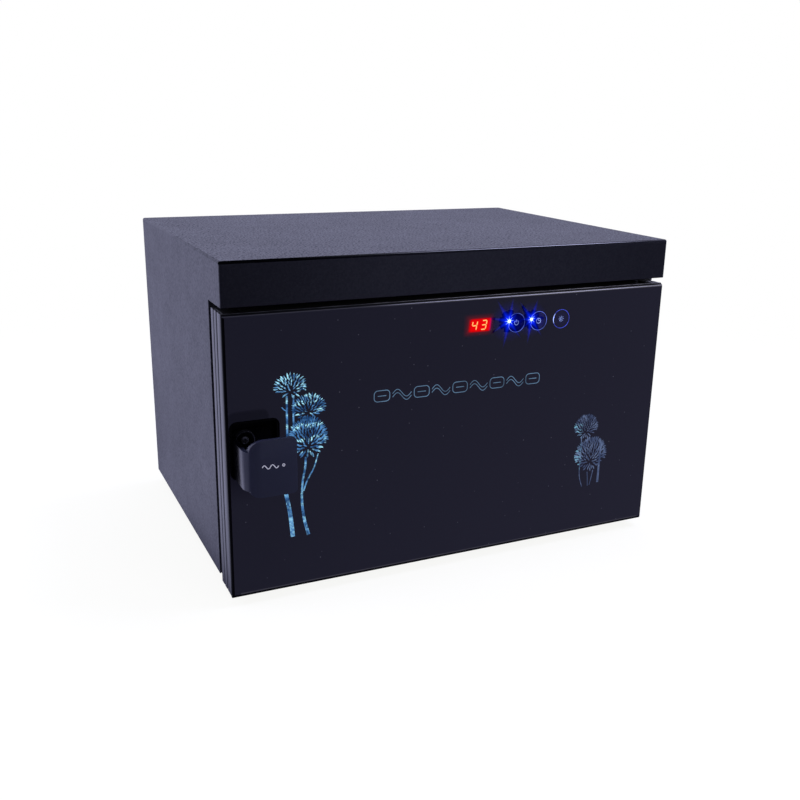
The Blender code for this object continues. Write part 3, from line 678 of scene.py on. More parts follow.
def hoop(mesh, centre, side, up, radius, count):
    """A ring of vertices about a place in the frame, in the plane of two unit vectors."""
    return [
        mesh.verts.new(centre + (side * cos(a) + up * sin(a)) * (radius * MM))
        for a in turns(count)
    ]


def wall(mesh, a, b):
    count = len(a)
    return [
        mesh.faces.new((a[i], a[(i + 1) % count], b[(i + 1) % count], b[i]))
        for i in range(count)
    ]


def loft(mesh, loops):
    for a, b in zip(loops, loops[1:]):
        wall(mesh, a, b)


def solid(mesh, loops):
    loft(mesh, loops)
    mesh.faces.new(loops[0][::-1])
    mesh.faces.new(loops[-1])


def cap(mesh, *loops):
    """Fills the area between an outer loop and its holes."""
    edges = []
    for loop in loops:
        for pair in zip(loop, loop[1:] + loop[:1]):
            edges.append(mesh.edges.get(pair) or mesh.edges.new(pair))
    bmesh.ops.triangle_fill(mesh, use_beauty=True, use_dissolve=False, edges=edges)


PRINT_Y = -0.10  # front of the prints, just proud of the glass
PRINT_DEPTH = 0.08


def decal(mesh, outline, y=PRINT_Y, depth=PRINT_DEPTH):
    """A flat shape of small thickness facing the front."""
    front = outline_verts(mesh, outline, y)
    back = outline_verts(mesh, outline, y + depth)
    mesh.faces.new(front)
    mesh.faces.new(back[::-1])
    wall(mesh, front, back)


def ribbon(mesh, path, widths, y=PRINT_Y, depth=PRINT_DEPTH, closed=False):
    """A line along a path of (x, z), of one width or of one for each point."""
    count = len(path)
    left, right = [], []
    for i, (x, z) in enumerate(path):
        before = path[(i - 1) % count if closed else max(i - 1, 0)]
        after = path[(i + 1) % count if closed else min(i + 1, count - 1)]
        dx, dz = after[0] - before[0], after[1] - before[1]
        length = hypot(dx, dz) or 1
        half = (widths[i] if isinstance(widths, list) else widths) / 2
        left.append((x - dz / length * half, z + dx / length * half))
        right.append((x + dz / length * half, z - dx / length * half))
    (lf, rf), (lb, rb) = [
        (outline_verts(mesh, left, level), outline_verts(mesh, right, level))
        for level in (y, y + depth)
    ]
    for i in range(count if closed else count - 1):
        j = (i + 1) % count
        mesh.faces.new((lf[i], lf[j], rf[j], rf[i]))
        mesh.faces.new((lb[i], rb[i], rb[j], lb[j]))
        mesh.faces.new((lf[i], lb[i], lb[j], lf[j]))
        mesh.faces.new((rf[i], rf[j], rb[j], rb[i]))
    if not closed:
        mesh.faces.new((lf[0], rf[0], rb[0], lb[0]))
        mesh.faces.new((lf[-1], lb[-1], rb[-1], rf[-1]))


def ring(mesh, x, z, radius, width, y=PRINT_Y, count=48):
    ribbon(mesh, [polar(x, z, radius, a) for a in turns(count)], width, y, closed=True)


# ------------------------------------------------------------------ door glass
(glass_left, _, glass_low), (glass_right, _, glass_top) = box_mm("door_glass")
glass_depth = box_mm("door_glass")[1][1]
glass_width = glass_right - glass_left
glass_low -= 0.9  # the panel hangs just past the rail behind it
(cup_left, _, cup_low), (cup_right, _, cup_top) = box_mm("handle_cup")
CUP_GAP = 0.3
BEVEL_LEFT, BEVEL_RIGHT, BEVEL_LOW = 1.9, 1.1, 2.7
# share of the bevel width, y, how far the top edge sits below the panel's height
OUTER_LEVELS = (
    (1.0, 0.0, 2.40), (0.80, 0.10, 2.13), (0.18, 1.15, 1.29), (0.0, 1.6, 1.10),
    (0.0, 3.2, 0.02), (0.0, glass_depth - 0.35, -0.35), (0.0, glass_depth, -0.35),
)
# outward growth of the hole round the cup, y
HOLE_LEVELS = ((0.35, 0.0), (0.10, 0.10), (0.0, 0.4), (0.0, glass_depth))
# slots of the panel's materials, and those of the faces between levels along the top
BEVEL_SLOT, RIM_GLINT_SLOT, PAINTED_GLINT_SLOT = 1, 2, 3
TOP_SLOTS = (PAINTED_GLINT_SLOT, PAINTED_GLINT_SLOT, PAINTED_GLINT_SLOT, BEVEL_SLOT, RIM_GLINT_SLOT, BEVEL_SLOT)

mesh = bmesh.new()
outer, hole = [], []
for share, y, drop in OUTER_LEVELS:
    left, right, low = (width * share for width in (BEVEL_LEFT, BEVEL_RIGHT, BEVEL_LOW))
    outline = rounded(left, glass_width - right, glass_low + low, glass_top - drop, 0.3, 3)
    outer.append(outline_verts(mesh, outline, y))
for grow, y in HOLE_LEVELS:
    gap = CUP_GAP + grow
    outline = rounded(cup_left - gap, cup_right + gap, cup_low - gap, cup_top + gap, 5.5 + grow, 8)
    hole.append(outline_verts(mesh, outline, y))
top_zone = point(0, 0, glass_top - 2.45).z
for a, b, top_slot in zip(outer, outer[1:], TOP_SLOTS):
    for face in wall(mesh, a, b):
        middle = sum((v.co.z for v in face.verts), 0.0) / len(face.verts)
        face.material_index = top_slot if middle > top_zone else BEVEL_SLOT
for a, b in zip(hole, hole[1:]):
    for face in wall(mesh, a, b):
        face.material_index = BEVEL_SLOT
cap(mesh, outer[0], hole[0])
cap(mesh, outer[-1], hole[-1])
glass = add("door_glass_panel", mesh, GLASS, "door")
glass.data.materials.append(painted_dark_bevel("panel_bevel_painted_shade"))
glass.data.materials.append(painted_rim_glint("panel_rim_painted_glint"))
glass.data.materials.append(panel_glass("panel_top_bevel_painted_glint", lit=0.075))
flatten_faces(glass, 0.9995)
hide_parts("door_glass")

# thin line of light above the bottom edge
GLINT = glow("edge_glint", (0.030, 0.029, 0.038), 1.0, (0.012, 0.012, 0.016), scale=120, vary=0.35)
mesh = bmesh.new()
path = [(7.0 + (glass_width - 12.0) * k / 40, glass_low + 3.3) for k in range(41)]
ribbon(mesh, path, 1.0, -0.06, 0.04)
add_print("panel_edge_glint", mesh, GLINT)

# ------------------------------------------------------------------ printed flowers
# place along a leaf, share of its full width
LEAF = ((0, 0.06), (0.25, 0.8), (0.55, 1.0), (0.82, 0.62), (1.0, 0.0))


def rnd(i, salt):
    """A fixed pseudo-random number in 0..1."""
    value = sin(i * 12.9898 + salt * 78.233 + 4.1414) * 43758.5453
    return value - floor(value)


def leaf(mesh, x, z, angle, length, width, bend):
    """A lens-shaped stroke starting at (x, z)."""
    c, s = cos(angle), sin(angle)

    def edge(side, stations):
        return [
            (t * length, side * w / 2 * width + bend * length * sin(pi * t) * 0.5)
            for t, w in stations
        ]

    outline = edge(1, LEAF) + edge(-1, LEAF[:-1])[::-1]
    decal(mesh, [(x + u * c - v * s, z + u * s + v * c) for u, v in outline])


def bloom(mesh, cx, cz, rx, rz, count, salt, size):
    """A round flower head of small leaf strokes set on a sunflower spiral, with a rim of
    longer ones that fan upwards."""
    golden = pi * (3 - sqrt(5))
    for i in range(count):
        t = sqrt((i + 0.5) / count)
        angle = i * golden + salt
        x = cx + rx * 0.80 * t * cos(angle)
        z = cz + rz * 0.80 * t * sin(angle)
        out = atan2((z - cz) + rz * 0.45, (x - cx) * 0.8 + 0.01)
        length = size * (2.3 + 1.5 * t + 0.7 * rnd(i, salt))
        turn = (rnd(i, salt + 3) - 0.5) * 0.5
        bend = 0.25 * (rnd(i, salt + 5) - 0.5)
        leaf(mesh, x, z, out + turn, length, length * 0.30, bend)
    rim = int(count * 0.42)
    for i in range(rim):
        angle = -0.35 + (pi + 0.7) * i / (rim - 1)
        x = cx + rx * 0.84 * cos(angle)
        z = cz + rz * 0.84 * sin(angle)
        length = size * (3.0 + 1.3 * rnd(i, salt + 9))
        turn = (rnd(i, salt + 7) - 0.5) * 0.35
        leaf(mesh, x, z, angle + turn, length, length * 0.24, 0.1)


def strand(mesh, path, start_width, end_width):
    """A tapering line on a smooth curve through the points."""
    steps, last = 26, len(path) - 1
    points = []
    for i in range(steps + 1):
        s = min(int(i / steps * last), last - 1)
        u = i / steps * last - s
        around = path[max(s - 1, 0)], path[s], path[s + 1], path[min(s + 2, last)]
        points.append(tuple(
            0.5 * (2 * b + (c - a) * u + (2 * a - 5 * b + 4 * c - d) * u * u
                   + (3 * b - a - 3 * c + d) * u ** 3)
            for a, b, c, d in zip(*around)
        ))
    widths = [start_width + (end_width - start_width) * i / steps for i in range(steps + 1)]
    ribbon(mesh, points, widths)


# centre x and z, radius in x and z, leaves, seed, leaf size
LEFT_BLOOMS = (
    (53.0, 172.5, 12.2, 9.2, 46, 1.0, 1.0),
    (68.0, 153.5, 13.6, 9.8, 62, 2.3, 1.0),
    (67.0, 127.5, 15.6, 17.0, 104, 4.1, 1.2),
)
RIGHT_BLOOMS = (
    (342.5, 102.0, 12.6, 11.6, 84, 6.2, 0.82),
    (350.0, 73.5, 17.0, 16.5, 104, 7.4, 1.15),
)
# points (x, z), width at the first and last
LEFT_STRANDS = (
    (((49.8, 165), (49.6, 150), (49.4, 128), (48.0, 108)), 1.5, 1.9),
    (((55.4, 165), (55.0, 150), (54.8, 130), (53.0, 110)), 1.2, 1.6),
    (((45.4, 156.0), (47.4, 153.8), (49.4, 152.6)), 0.7, 1.0),
    (((64.4, 145), (64.0, 139)), 1.0, 1.2),
    (((70.0, 145), (70.4, 139)), 1.0, 1.2),
    (((47.0, 98), (46.6, 88), (50.6, 64), (52.7, 42.5)), 2.9, 3.7),
    (((64.8, 111.5), (64.4, 103), (62.2, 92), (61.2, 80), (61.4, 70)), 1.7, 1.7),
    (((75.6, 113), (71.8, 101), (66.0, 91), (62.6, 82)), 0.9, 1.3),
    (((60.8, 80), (61.4, 68), (63.2, 55), (66.4, 42.0)), 1.7, 2.9),
)
RIGHT_STRANDS = (
    (((338, 92), (338.5, 80), (338.2, 62), (339.0, 52), (342.5, 41.5)), 1.1, 0.7),
    (((347.5, 56), (348.4, 49), (349, 41.5)), 0.9, 0.7),
    (((354, 57), (352.6, 49), (351, 42)), 0.9, 0.7),
    (((361.5, 84), (360.8, 66), (360.4, 43.5)), 1.6, 2.4),
)
# the flower prints glow as painted light, with painted glare in bands
CYAN = foil(
    "foil_cyan_painted_glow", accent=(0.42, 0.86, 1.00), middle=(0.082, 0.240, 0.500),
    deep=(0.010, 0.050, 0.150), strength=1.0,
)
SLATE = foil(
    "foil_slate_painted_glow", accent=(0.24, 0.60, 0.78), middle=(0.085, 0.115, 0.205),
    deep=(0.030, 0.042, 0.090), strength=1.22, fade=(330, 340),
)
for name, material, blooms, strands in (
    ("flower_print_left", CYAN, LEFT_BLOOMS, LEFT_STRANDS),
    ("flower_print_right", SLATE, RIGHT_BLOOMS, RIGHT_STRANDS),
):
    mesh = bmesh.new()
    for values in blooms:
        bloom(mesh, *values)
    for values in strands:
        strand(mesh, *values)
    add_print(name, mesh, material)

# ------------------------------------------------------------------ middle ornament
# a row of rounded frames, each with a bar, alternating with pairs of waves
FRAME_WIDTH, WAVE_WIDTH, ORNAMENT_GAP = 14.2, 17.4, 2.6
# the ornament print glows as painted light
ORNAMENT_GLOW = glow("line_print_painted_glow", (0.125, 0.225, 0.360), 1.05, (0.01, 0.02, 0.03), scale=90, vary=0.55)
mesh = bmesh.new()
x = 125.2
for i in range(9):
    if i % 2 == 0:
        wide = FRAME_WIDTH
        ribbon(mesh, rounded(x, x + wide, 151.0, 160.5, 3.2), 0.62, closed=True)
        ribbon(mesh, [(x + 3.2, 155.8), (x + wide - 3.2, 155.8)], 0.62)
    else:
        wide = WAVE_WIDTH
        for rise in (-1.5, 1.5):
            wave = [
                (x + k / 32 * wide, 155.2 + 3.4 * sin(2 * pi * k / 32) + rise)
                for k in range(33)
            ]
            ribbon(mesh, wave, 0.58)
    x += wide + ORNAMENT_GAP
add_print("ornament_band", mesh, ORNAMENT_GLOW)

# ------------------------------------------------------------------ touch rings and icons
RINGS = [centre_xz(f"touch_pad_{i}") for i in (1, 2, 3)]
RING_RADIUS = 8.35
RING = glow("ring_print_lit", (0.13, 0.20, 0.85), 1.10, (0.01, 0.01, 0.05), scale=150, vary=0.75)
RING_DIM = glow("ring_print_dim", (0.09, 0.14, 1.15), 0.9, (0.01, 0.01, 0.04), scale=150, vary=0.7)
ICON = glow("icon_print", (0.34, 0.46, 0.95), 1.15, (0.02, 0.02, 0.08), scale=260, vary=0.7)
ARC = glow("ring_glint", (0.62, 0.82, 1.75), 1.1, (0.05, 0.05, 0.08), scale=200, vary=0.3)


def power_icon(mesh, x, z):
    """An arc open at the top, with a short bar in the gap."""
    ribbon(mesh, [polar(x, z, 2.0, radians(55 - 290 * k / 24)) for k in range(25)], 0.5)
    ribbon(mesh, [(x, z + 0.5), (x, z + 2.7)], 0.5)


def clock_icon(mesh, x, z):
    ring(mesh, x, z, 2.2, 0.45, count=28)
    ribbon(mesh, [(x, z + 1.5), (x, z), (x + 1.2, z)], 0.45)


def sun_icon(mesh, x, z):
    ring(mesh, x, z, 1.0, 0.45, count=20)
    for k in range(8):
        angle = pi * k / 4
        ribbon(mesh, [polar(x, z, 1.7, angle), polar(x, z, 2.6, angle)], 0.45)


for i, icon in enumerate((power_icon, clock_icon, sun_icon)):
    mesh = bmesh.new()
    ring(mesh, *RINGS[i], RING_RADIUS, 0.42)
    add_print(f"touch_ring_{i + 1}", mesh, RING if i < 2 else RING_DIM)
    mesh = bmesh.new()
    icon(mesh, *RINGS[i])
    add_print(f"touch_icon_{i + 1}", mesh, ICON)
mesh = bmesh.new()
arc = [polar(*RINGS[2], RING_RADIUS, radians(142 + 62 * k / 14)) for k in range(15)]
ribbon(mesh, arc, [0.15 + 0.48 * sin(pi * k / 14) for k in range(15)], -0.16, 0.05)
add_print("ring_glint_3", mesh, ARC)


# ------------------------------------------------------------------ indicators and their stars
def halo(name, cx, cz, radius, count, material, y):
    """A thin disc of light: full at the centre, nothing at the rim."""
    mesh = bmesh.new()
    fade = mesh.verts.layers.float.new("fade")
    sheets = []
    for level in (y, y + 0.03):
        centre = mesh.verts.new(point(cx, level, cz))
        centre[fade] = 1.0
        loops = []
        for share in (0.25, 0.5, 0.75, 1.0):
            outline = [polar(cx, cz, radius * share, a) for a in turns(count)]
            loops.append(outline_verts(mesh, outline, level))
            for v in loops[-1]:
                v[fade] = 1.0 - share
        sheets.append((centre, loops))
    for centre, loops in sheets:
        for k in range(count):
            mesh.faces.new((centre, loops[0][k], loops[0][(k + 1) % count]))
        loft(mesh, loops)
    wall(mesh, sheets[0][1][-1], sheets[1][1][-1])
    add_print(name, mesh, material)


# one streak: share of its length, share of its half width, fade; the last two are on its axis
STREAK = (
    (0, 0, 1.0), (0.10, 1, 0.0), (0.45, 0.62, 0.0), (1.0, 0, 0.0),
    (0.45, -0.62, 0.0), (0.10, -1, 0.0), (0.12, 0, 0.85), (0.45, 0, 0.42),
)
STREAK_FACES = ((0, 1, 6), (1, 2, 7, 6), (2, 3, 7), (3, 4, 7), (4, 5, 6, 7), (5, 0, 6))


def rays(name, cx, cz, spokes, material, y):
    """Tapering streaks of light from one point; spokes hold (degrees, length, width)."""
    mesh = bmesh.new()
    fade = mesh.verts.layers.float.new("fade")
    for k, (degrees, length, width) in enumerate(spokes):
        c, s = cos(radians(degrees)), sin(radians(degrees))
        front_y = y - 0.012 * k
        sheets = []
        for level in (front_y, front_y + 0.008):
            sheet = []
            for u, v, light in STREAK:
                x, z = u * length, v * width / 2
                vert = mesh.verts.new(point(cx + x * c - z * s, level, cz + x * s + z * c))
                vert[fade] = light
                sheet.append(vert)
            sheets.append(sheet)
        for sheet in sheets:
            for corners in STREAK_FACES:
                mesh.faces.new([sheet[corner] for corner in corners])
        wall(mesh, sheets[0][:6], sheets[1][:6])
    add_print(name, mesh, material)


LED = glow("indicator_lit", (0.55, 0.75, 1.0), 5.0, (0.1, 0.1, 0.2), scale=300, vary=0.1)
HALO = star_light("indicator_halo", (0.006, 0.028, 1.0), strength=0.27, power=1.7)
CORE = star_light("indicator_core", (0.45, 0.62, 1.0), strength=2.6, power=1.5)
RAYS = star_light("indicator_rays", (0.001, 0.018, 0.95), strength=0.60, power=1.6)
HAZE = star_light("indicator_haze", (0.001, 0.012, 0.90), strength=0.055, power=1.2)
SPIKES = star_light("indicator_spikes", (0.40, 0.60, 1.0), strength=2.6, power=1.0)
WASH = star_light("ring_wash", (0.001, 0.008, 0.50), strength=0.10, power=0.8)
WASH_DIM = star_light("ring_wash_dim", (0.001, 0.008, 0.50), strength=0.03, power=0.8)
# degrees, length, width of each streak, for the two lit indicators
STARS = (
    [(124, 23, 5.0), (81, 21, 4.6), (168, 20, 4.2), (208, 19, 4.2),
     (258, 24, 5.0), (308, 21, 4.0), (357, 15, 3.6), (38, 12, 3.2)],
    [(128, 21, 4.6), (72, 19, 4.6), (176, 13, 3.4), (262, 22, 4.6),
     (306, 20, 4.0), (2, 14, 3.4), (221, 12, 3.2), (35, 11, 3.0)],
)
for i, size in enumerate((1.0, 0.85, 0.0)):
    x, z = RINGS[i][0] - 7.6, RINGS[i][1] + 1.9
    mesh = bmesh.new()
    decal(mesh, [polar(x, z, 0.55, a) for a in turns(16)], -0.14, 0.1)
    add_print(f"indicator_{i + 1}", mesh, LED if size else RING_DIM)
    if not size:
        halo(f"ring_wash_{i + 1}", *RINGS[i], 8.6, 32, WASH_DIM, y=-0.15)
        continue
    halo(f"indicator_halo_{i + 1}", x, z, 10.0 * size, 36, HALO, y=-0.18)
    halo(f"indicator_core_{i + 1}", x, z, 1.8 * size, 24, CORE, y=-0.44)
    halo(f"ring_wash_{i + 1}", *RINGS[i], 9.0, 32, WASH, y=-0.15)
    halo(f"indicator_haze_{i + 1}", x, z, 19.0 * size, 36, HAZE, y=-0.165)
    long = [(angle, length * 1.10, width * 1.6) for angle, length, width in STARS[i]]
    rays(f"indicator_rays_{i + 1}", x, z, long, RAYS, y=-0.22)
    short = [(angle + 11, 5.4 * size, 0.95) for angle, _, _ in STARS[i]]
    rays(f"indicator_spikes_{i + 1}", x, z, short, SPIKES, y=-0.33)

# ------------------------------------------------------------------ numeric display
(dx0, _, dz0), (dx1, _, dz1) = box_mm("display_module")
display_z = (dz0 + dz1) / 2


def ease(t):
    t = max(0.0, min(1.0, t))
    return t * t * (3 - 2 * t)


def window_light(x, z):
    """Fade and tone at a place: full over the slanted module, with a faint spill round it."""
    u = x - 0.10 * (z - display_z)
    core = ease((u - dx0 + 0.2) / 4.6) * ease((dx1 + 0.2 - u) / 2.0)
    core = core * ease((z - dz0 + 0.3) / 2.2) * ease((dz1 + 0.1 - z) / 2.4)
    away = hypot(max(dx0 - u, 0, u - dx1), max(dz0 - z, 0, z - dz1))
    rim = ease(min(x - wx0, wx1 - x) / 2.5) * ease(min(z - wz0, wz1 - z) / 2.5)
    return 0.94 * core + 0.055 * exp(-away / 1.9) * rim, ease((u - dx1 + 2.6) / 2.6)


wx0, wx1, wz0, wz1 = dx0 - 5.5, dx1 + 3.6, dz0 - 4.6, dz1 + 4.6
COLUMNS, ROWS = 52, 34
mesh = bmesh.new()
fade = mesh.verts.layers.float.new("fade")
tone = mesh.verts.layers.float.new("tone")
for y in (-0.085, -0.060):
    rows = []
    for j in range(ROWS + 1):
        row = []
        for i in range(COLUMNS + 1):
            x, z = wx0 + (wx1 - wx0) * i / COLUMNS, wz0 + (wz1 - wz0) * j / ROWS
            vert = mesh.verts.new(point(x, y, z))
            vert[fade], vert[tone] = window_light(x, z)
            row.append(vert)
        rows.append(row)
    for a, b in zip(rows, rows[1:]):
        for i in range(COLUMNS):
            mesh.faces.new((a[i], a[i + 1], b[i + 1], b[i]))
add_print("display_window", mesh, lit_window("display_window"))

# ends of each segment, in half heights (second value) and widths (first) of the digit
SEGMENTS = {
    "a": ((0, 2), (1, 2)), "b": ((1, 2), (1, 1)), "c": ((1, 1), (1, 0)),
    "d": ((0, 0), (1, 0)), "f": ((0, 2), (0, 1)), "g": ((0, 1), (1, 1)),
}
DIGIT_WIDTH, DIGIT_HEIGHT, DIGIT_SLANT = 4.4, 7.6, 0.2
SEGMENT_GAP = 0.22


def digit(mesh, cx, cz, lit, thick, y):
    for key in lit:
        (x0, z0), (x1, z1) = [
            ((column - 0.5) * DIGIT_WIDTH, (row - 1) * DIGIT_HEIGHT / 2)
            for column, row in SEGMENTS[key]
        ]
        length = hypot(x1 - x0, z1 - z0)
        ux, uz = (x1 - x0) / length, (z1 - z0) / length
        half, near, far = thick / 2, SEGMENT_GAP, length - SEGMENT_GAP
        outline = []
        for u, v in (
            (near, 0), (near + half, half), (far - half, half),
            (far, 0), (far - half, -half), (near + half, -half),
        ):
            x, z = x0 + ux * u - uz * v, z0 + uz * u + ux * v
            outline.append((cx + x + DIGIT_SLANT * z, cz + z))
        decal(mesh, outline, y, 0.06)


SEG = glow("digit_lit", (1.0, 0.60, 0.17), 1.25, (0.2, 0.01, 0.01), scale=400, vary=0.15)
SEG_RIM = glow("digit_rim", (1.0, 0.075, 0.012), 0.95, (0.2, 0.01, 0.01), scale=400, vary=0.15)
for name, thick, y, material in (
    ("display_digit_edges", 1.35, -0.13, SEG_RIM),
    ("display_digits", 0.72, -0.20, SEG),
):
    mesh = bmesh.new()
    digit(mesh, dx0 + 6.0, display_z - 0.3, "fgbc", thick, y)
    digit(mesh, dx0 + 15.2, display_z - 0.1, "abgcd", thick, y)
    add_print(name, mesh, material)

# ------------------------------------------------------------------ wave and ring on the pull
# the pale mark glows as painted light
PULL_MARK_GLOW = glow("pull_mark_painted_glow", (0.36, 0.36, 0.46), 0.55, (0.35, 0.35, 0.40), scale=220, vary=0.35)
MARK_X, MARK_Z = 17.0, 122.5
mark_y = box_mm("handle_pull")[0][1] - 0.10
mesh = bmesh.new()
wave = [(MARK_X + 13.0 * k / 30, MARK_Z + 1.5 * sin(4 * pi * k / 30)) for k in range(31)]
ribbon(mesh, wave, 0.75, mark_y)
ring(mesh, MARK_X + 17.0, MARK_Z, 0.9, 0.7, mark_y, 24)
add_print("pull_mark_painted_glow", mesh, PULL_MARK_GLOW)


# ------------------------------------------------------------------ wire rack
def bar(mesh, a, b, radius, count=12, dome=True):
    """A round wire between two places in the frame, with slightly domed ends."""
    along = (b - a).normalized()
    side = along.orthogonal().normalized()
    up = along.cross(side)
    length = (b - a).length
    steps = [(0.0, 0.55), (0.35, 0.9), (1.0, 1.0)] if dome else [(0.0, 1.0)]
    rows = [(a + along * (t * radius * MM), share) for t, share in steps]
    rows += [(a + along * (length - t * radius * MM), share) for t, share in steps[::-1]]
    solid(mesh, [hoop(mesh, at, side, up, radius * share, count) for at, share in rows])


FRAME_RADIUS, CROSS_RADIUS, WIRE_RADIUS, WELD_RADIUS = 2.0, 1.6, 1.3, 1.55
WIRES = 13
(rx0, ry0, rz), (rx1, ry1, _) = box_mm("wire_rack")
rx0, ry0, rz = rx0 + FRAME_RADIUS, ry0 + FRAME_RADIUS, rz + FRAME_RADIUS
rx1, ry1 = rx1 - FRAME_RADIUS, ry1 - FRAME_RADIUS
ry_mid = (ry0 + ry1) / 2
mesh = bmesh.new()
path = [point(x, y, rz) for x, y in rounded(rx0, rx1, ry0, ry1, 7)]
loops = []
for i, at in enumerate(path):
    along = (path[(i + 1) % len(path)] - path[i - 1]).normalized()
    up = Vector((0, 0, 1))
    loops.append(hoop(mesh, at, up, along.cross(up), FRAME_RADIUS, 12))
loft(mesh, loops + loops[:1])
bar(mesh, point(rx0, ry_mid, rz), point(rx1, ry_mid, rz), CROSS_RADIUS)
for k in range(WIRES):
    x = rx0 + (rx1 - rx0) * (k + 1) / (WIRES + 1)
    bar(mesh, point(x, ry0 - 0.6, rz + 1.5), point(x, ry1 + 0.6, rz + 1.5), WIRE_RADIUS)
    for y in (ry0, ry_mid, ry1):
        weld = bmesh.ops.create_uvsphere(
            mesh, u_segments=10, v_segments=6, radius=WELD_RADIUS * MM
        )["verts"]
        place = Matrix.Translation(point(x, y, rz + 0.9)) @ Matrix.Diagonal((1.0, 1.35, 0.75, 1.0))
        bmesh.ops.transform(mesh, matrix=place, verts=weld)
rack = add("rack_wires", mesh, CHROME, "rack")
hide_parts("wire_rack")


# ------------------------------------------------------------------ inner face of the door
def bead(mesh, x0, x1, z0, z1, radius, half, lift, y):
    """A rounded rib along a rounded rectangle, rising by lift along y."""
    loops = []
    for k in range(11):
        t = -1 + 2 * k / 10
        inset = t * half
        outline = rounded(x0 + inset, x1 - inset, z0 + inset, z1 - inset, radius - inset, 8)
        loops.append(outline_verts(mesh, outline, y + lift * 0.5 * (1 + cos(pi * t))))
    loft(mesh, loops)
    return loops


def spin(mesh, at, axis, profile):
    """Turns (radius, height) pairs about an axis through a place in the frame."""
    axis = Vector(axis)
    side = axis.orthogonal().normalized()
    up = axis.cross(side)
    solid(mesh, [hoop(mesh, at + axis * (h * MM), side, up, r, 20) for r, h in profile])


# radius, height
RIVET = (
    (2.5, -0.1), (2.5, 0.25), (2.25, 0.65), (1.7, 0.98), (1.05, 1.12), (0.75, 1.12), (0.65, 0.6),
)
SMALL_RIVET = tuple((r * 0.74, h * 0.8) for r, h in RIVET)
SEAM_RIVET = ((2.2, -0.1), (2.1, 0.18), (1.5, 0.30), (0.9, 0.22), (0.5, 0.12))

(ix0, iy0, iz0), (ix1, iy1, iz1) = box_mm("door_inner_panel")
mesh = bmesh.new()
rim = []
for inset, y in ((0.3, iy0), (0.0, iy0 + 0.25), (0.0, iy1 - 0.25), (0.3, iy1)):
    outline = rounded(ix0 + inset, ix1 - inset, iz0 + inset, iz1 - inset, 1.0, 3)
    rim.append(outline_verts(mesh, outline, y))
loft(mesh, rim)
rib = bead(mesh, 44, 374, 34, 198, radius=13, half=4.6, lift=1.7, y=iy1)
cap(mesh, rim[0])
cap(mesh, rim[-1], rib[0])
cap(mesh, rib[-1])
skin = add("door_inner_skin", mesh, MIRROR, "door")
flatten_faces(skin, 0.9999)
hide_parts("door_inner_panel")

EDGE_X = (24.5, 381.5)
rivets = [(x, z) for x in (24.5, 114.0, 203.0, 292.0, 381.5) for z in (20.5, 211.5)]
rivets += [(x, z) for z in (72.0, 160.0) for x in EDGE_X]
mesh = bmesh.new()
for x, z in rivets:
    spin(mesh, point(x, iy1, z), (0, 1, 0), RIVET)
strike_x, strike_back = centre_xz("strike_plate")[0], box_mm("strike_plate")[1][1]
for z in (110.0, 135.0):
    spin(mesh, point(strike_x, strike_back, z), (0, 1, 0), SMALL_RIVET)
add("door_rivets", mesh, STEEL, "door")


# ------------------------------------------------------------------ louvres at the vent slots
def fold_strip(mesh, line, x0, x1, thickness):
    """A bent strip of sheet whose one face follows line, (y, z) points."""
    inner = []
    for i, (y, z) in enumerate(line):
        ya, za = line[max(i - 1, 0)]
        yb, zb = line[min(i + 1, len(line) - 1)]
        size = hypot(yb - ya, zb - za)
        inner.append((y - (zb - za) / size * thickness, z + (yb - ya) / size * thickness))
    loop = line + inner[::-1]
    a = [mesh.verts.new(point(x0, y, z)) for y, z in loop]
    b = [mesh.verts.new(point(x1, y, z)) for y, z in loop]
    wall(mesh, a, b)
    last = len(loop) - 1
    for side in (a, b):
        for i in range(len(line) - 1):
            mesh.faces.new((side[i], side[i + 1], side[last - i - 1], side[last - i]))


VENT_ROWS, VENT_PITCH, FIRST_VENT = 6, 9.0, 196
BEND_RADIUS = 3.0
back_y = box_mm("back_panel")[0][1]
mesh = bmesh.new()
for row in range(VENT_ROWS):
    z = FIRST_VENT + VENT_PITCH * row + 3.4
    line = [(back_y - 0.05, z + 0.5)]
    for degrees in range(0, 76, 15):
        a = radians(degrees)
        line.append((back_y - 1.4 - BEND_RADIUS * sin(a), z + 0.5 - BEND_RADIUS * (1 - cos(a))))
    line.append((back_y - 4.9, z - 4.3))
    for start, end in ((70, 150), (270, 350)):
        fold_strip(mesh, line, start - 2.5, end + 2.5, 0.7)
add("vent_louvres", mesh, POWDER, "cabinet")

# ------------------------------------------------------------------ seams and rivets of the chamber
SHEET = 1.2
(lx0, _, lz0), (lx1, ly1, lz1) = box_mm("chamber_liner")
lx0, lz0 = lx0 + SHEET, lz0 + SHEET
lx1, ly1, lz1 = lx1 - SHEET, ly1 - SHEET, lz1 - SHEET
mesh = bmesh.new()
rib = bead(mesh, lx0 + 30, lx1 - 30, 86, 184, radius=12, half=4.2, lift=-1.6, y=ly1 - 0.02)
wall(mesh, rib[-1], rib[0])
for a, b in ((lx0 + 0.2, lx0 + 9.5), (lx1 - 9.5, lx1 - 0.2)):
    decal(mesh, rounded(a, b, lz0 + 0.3, lz1 - 0.3, 0.6, 2), ly1 - 0.7, 0.68)
    for k in range(8):
        spin(mesh, point((a + b) / 2, ly1 - 0.6, lz0 + 14 + 25.4 * k), (0, -1, 0), SEAM_RIVET)
add("chamber_seams", mesh, MIRROR, "cabinet")

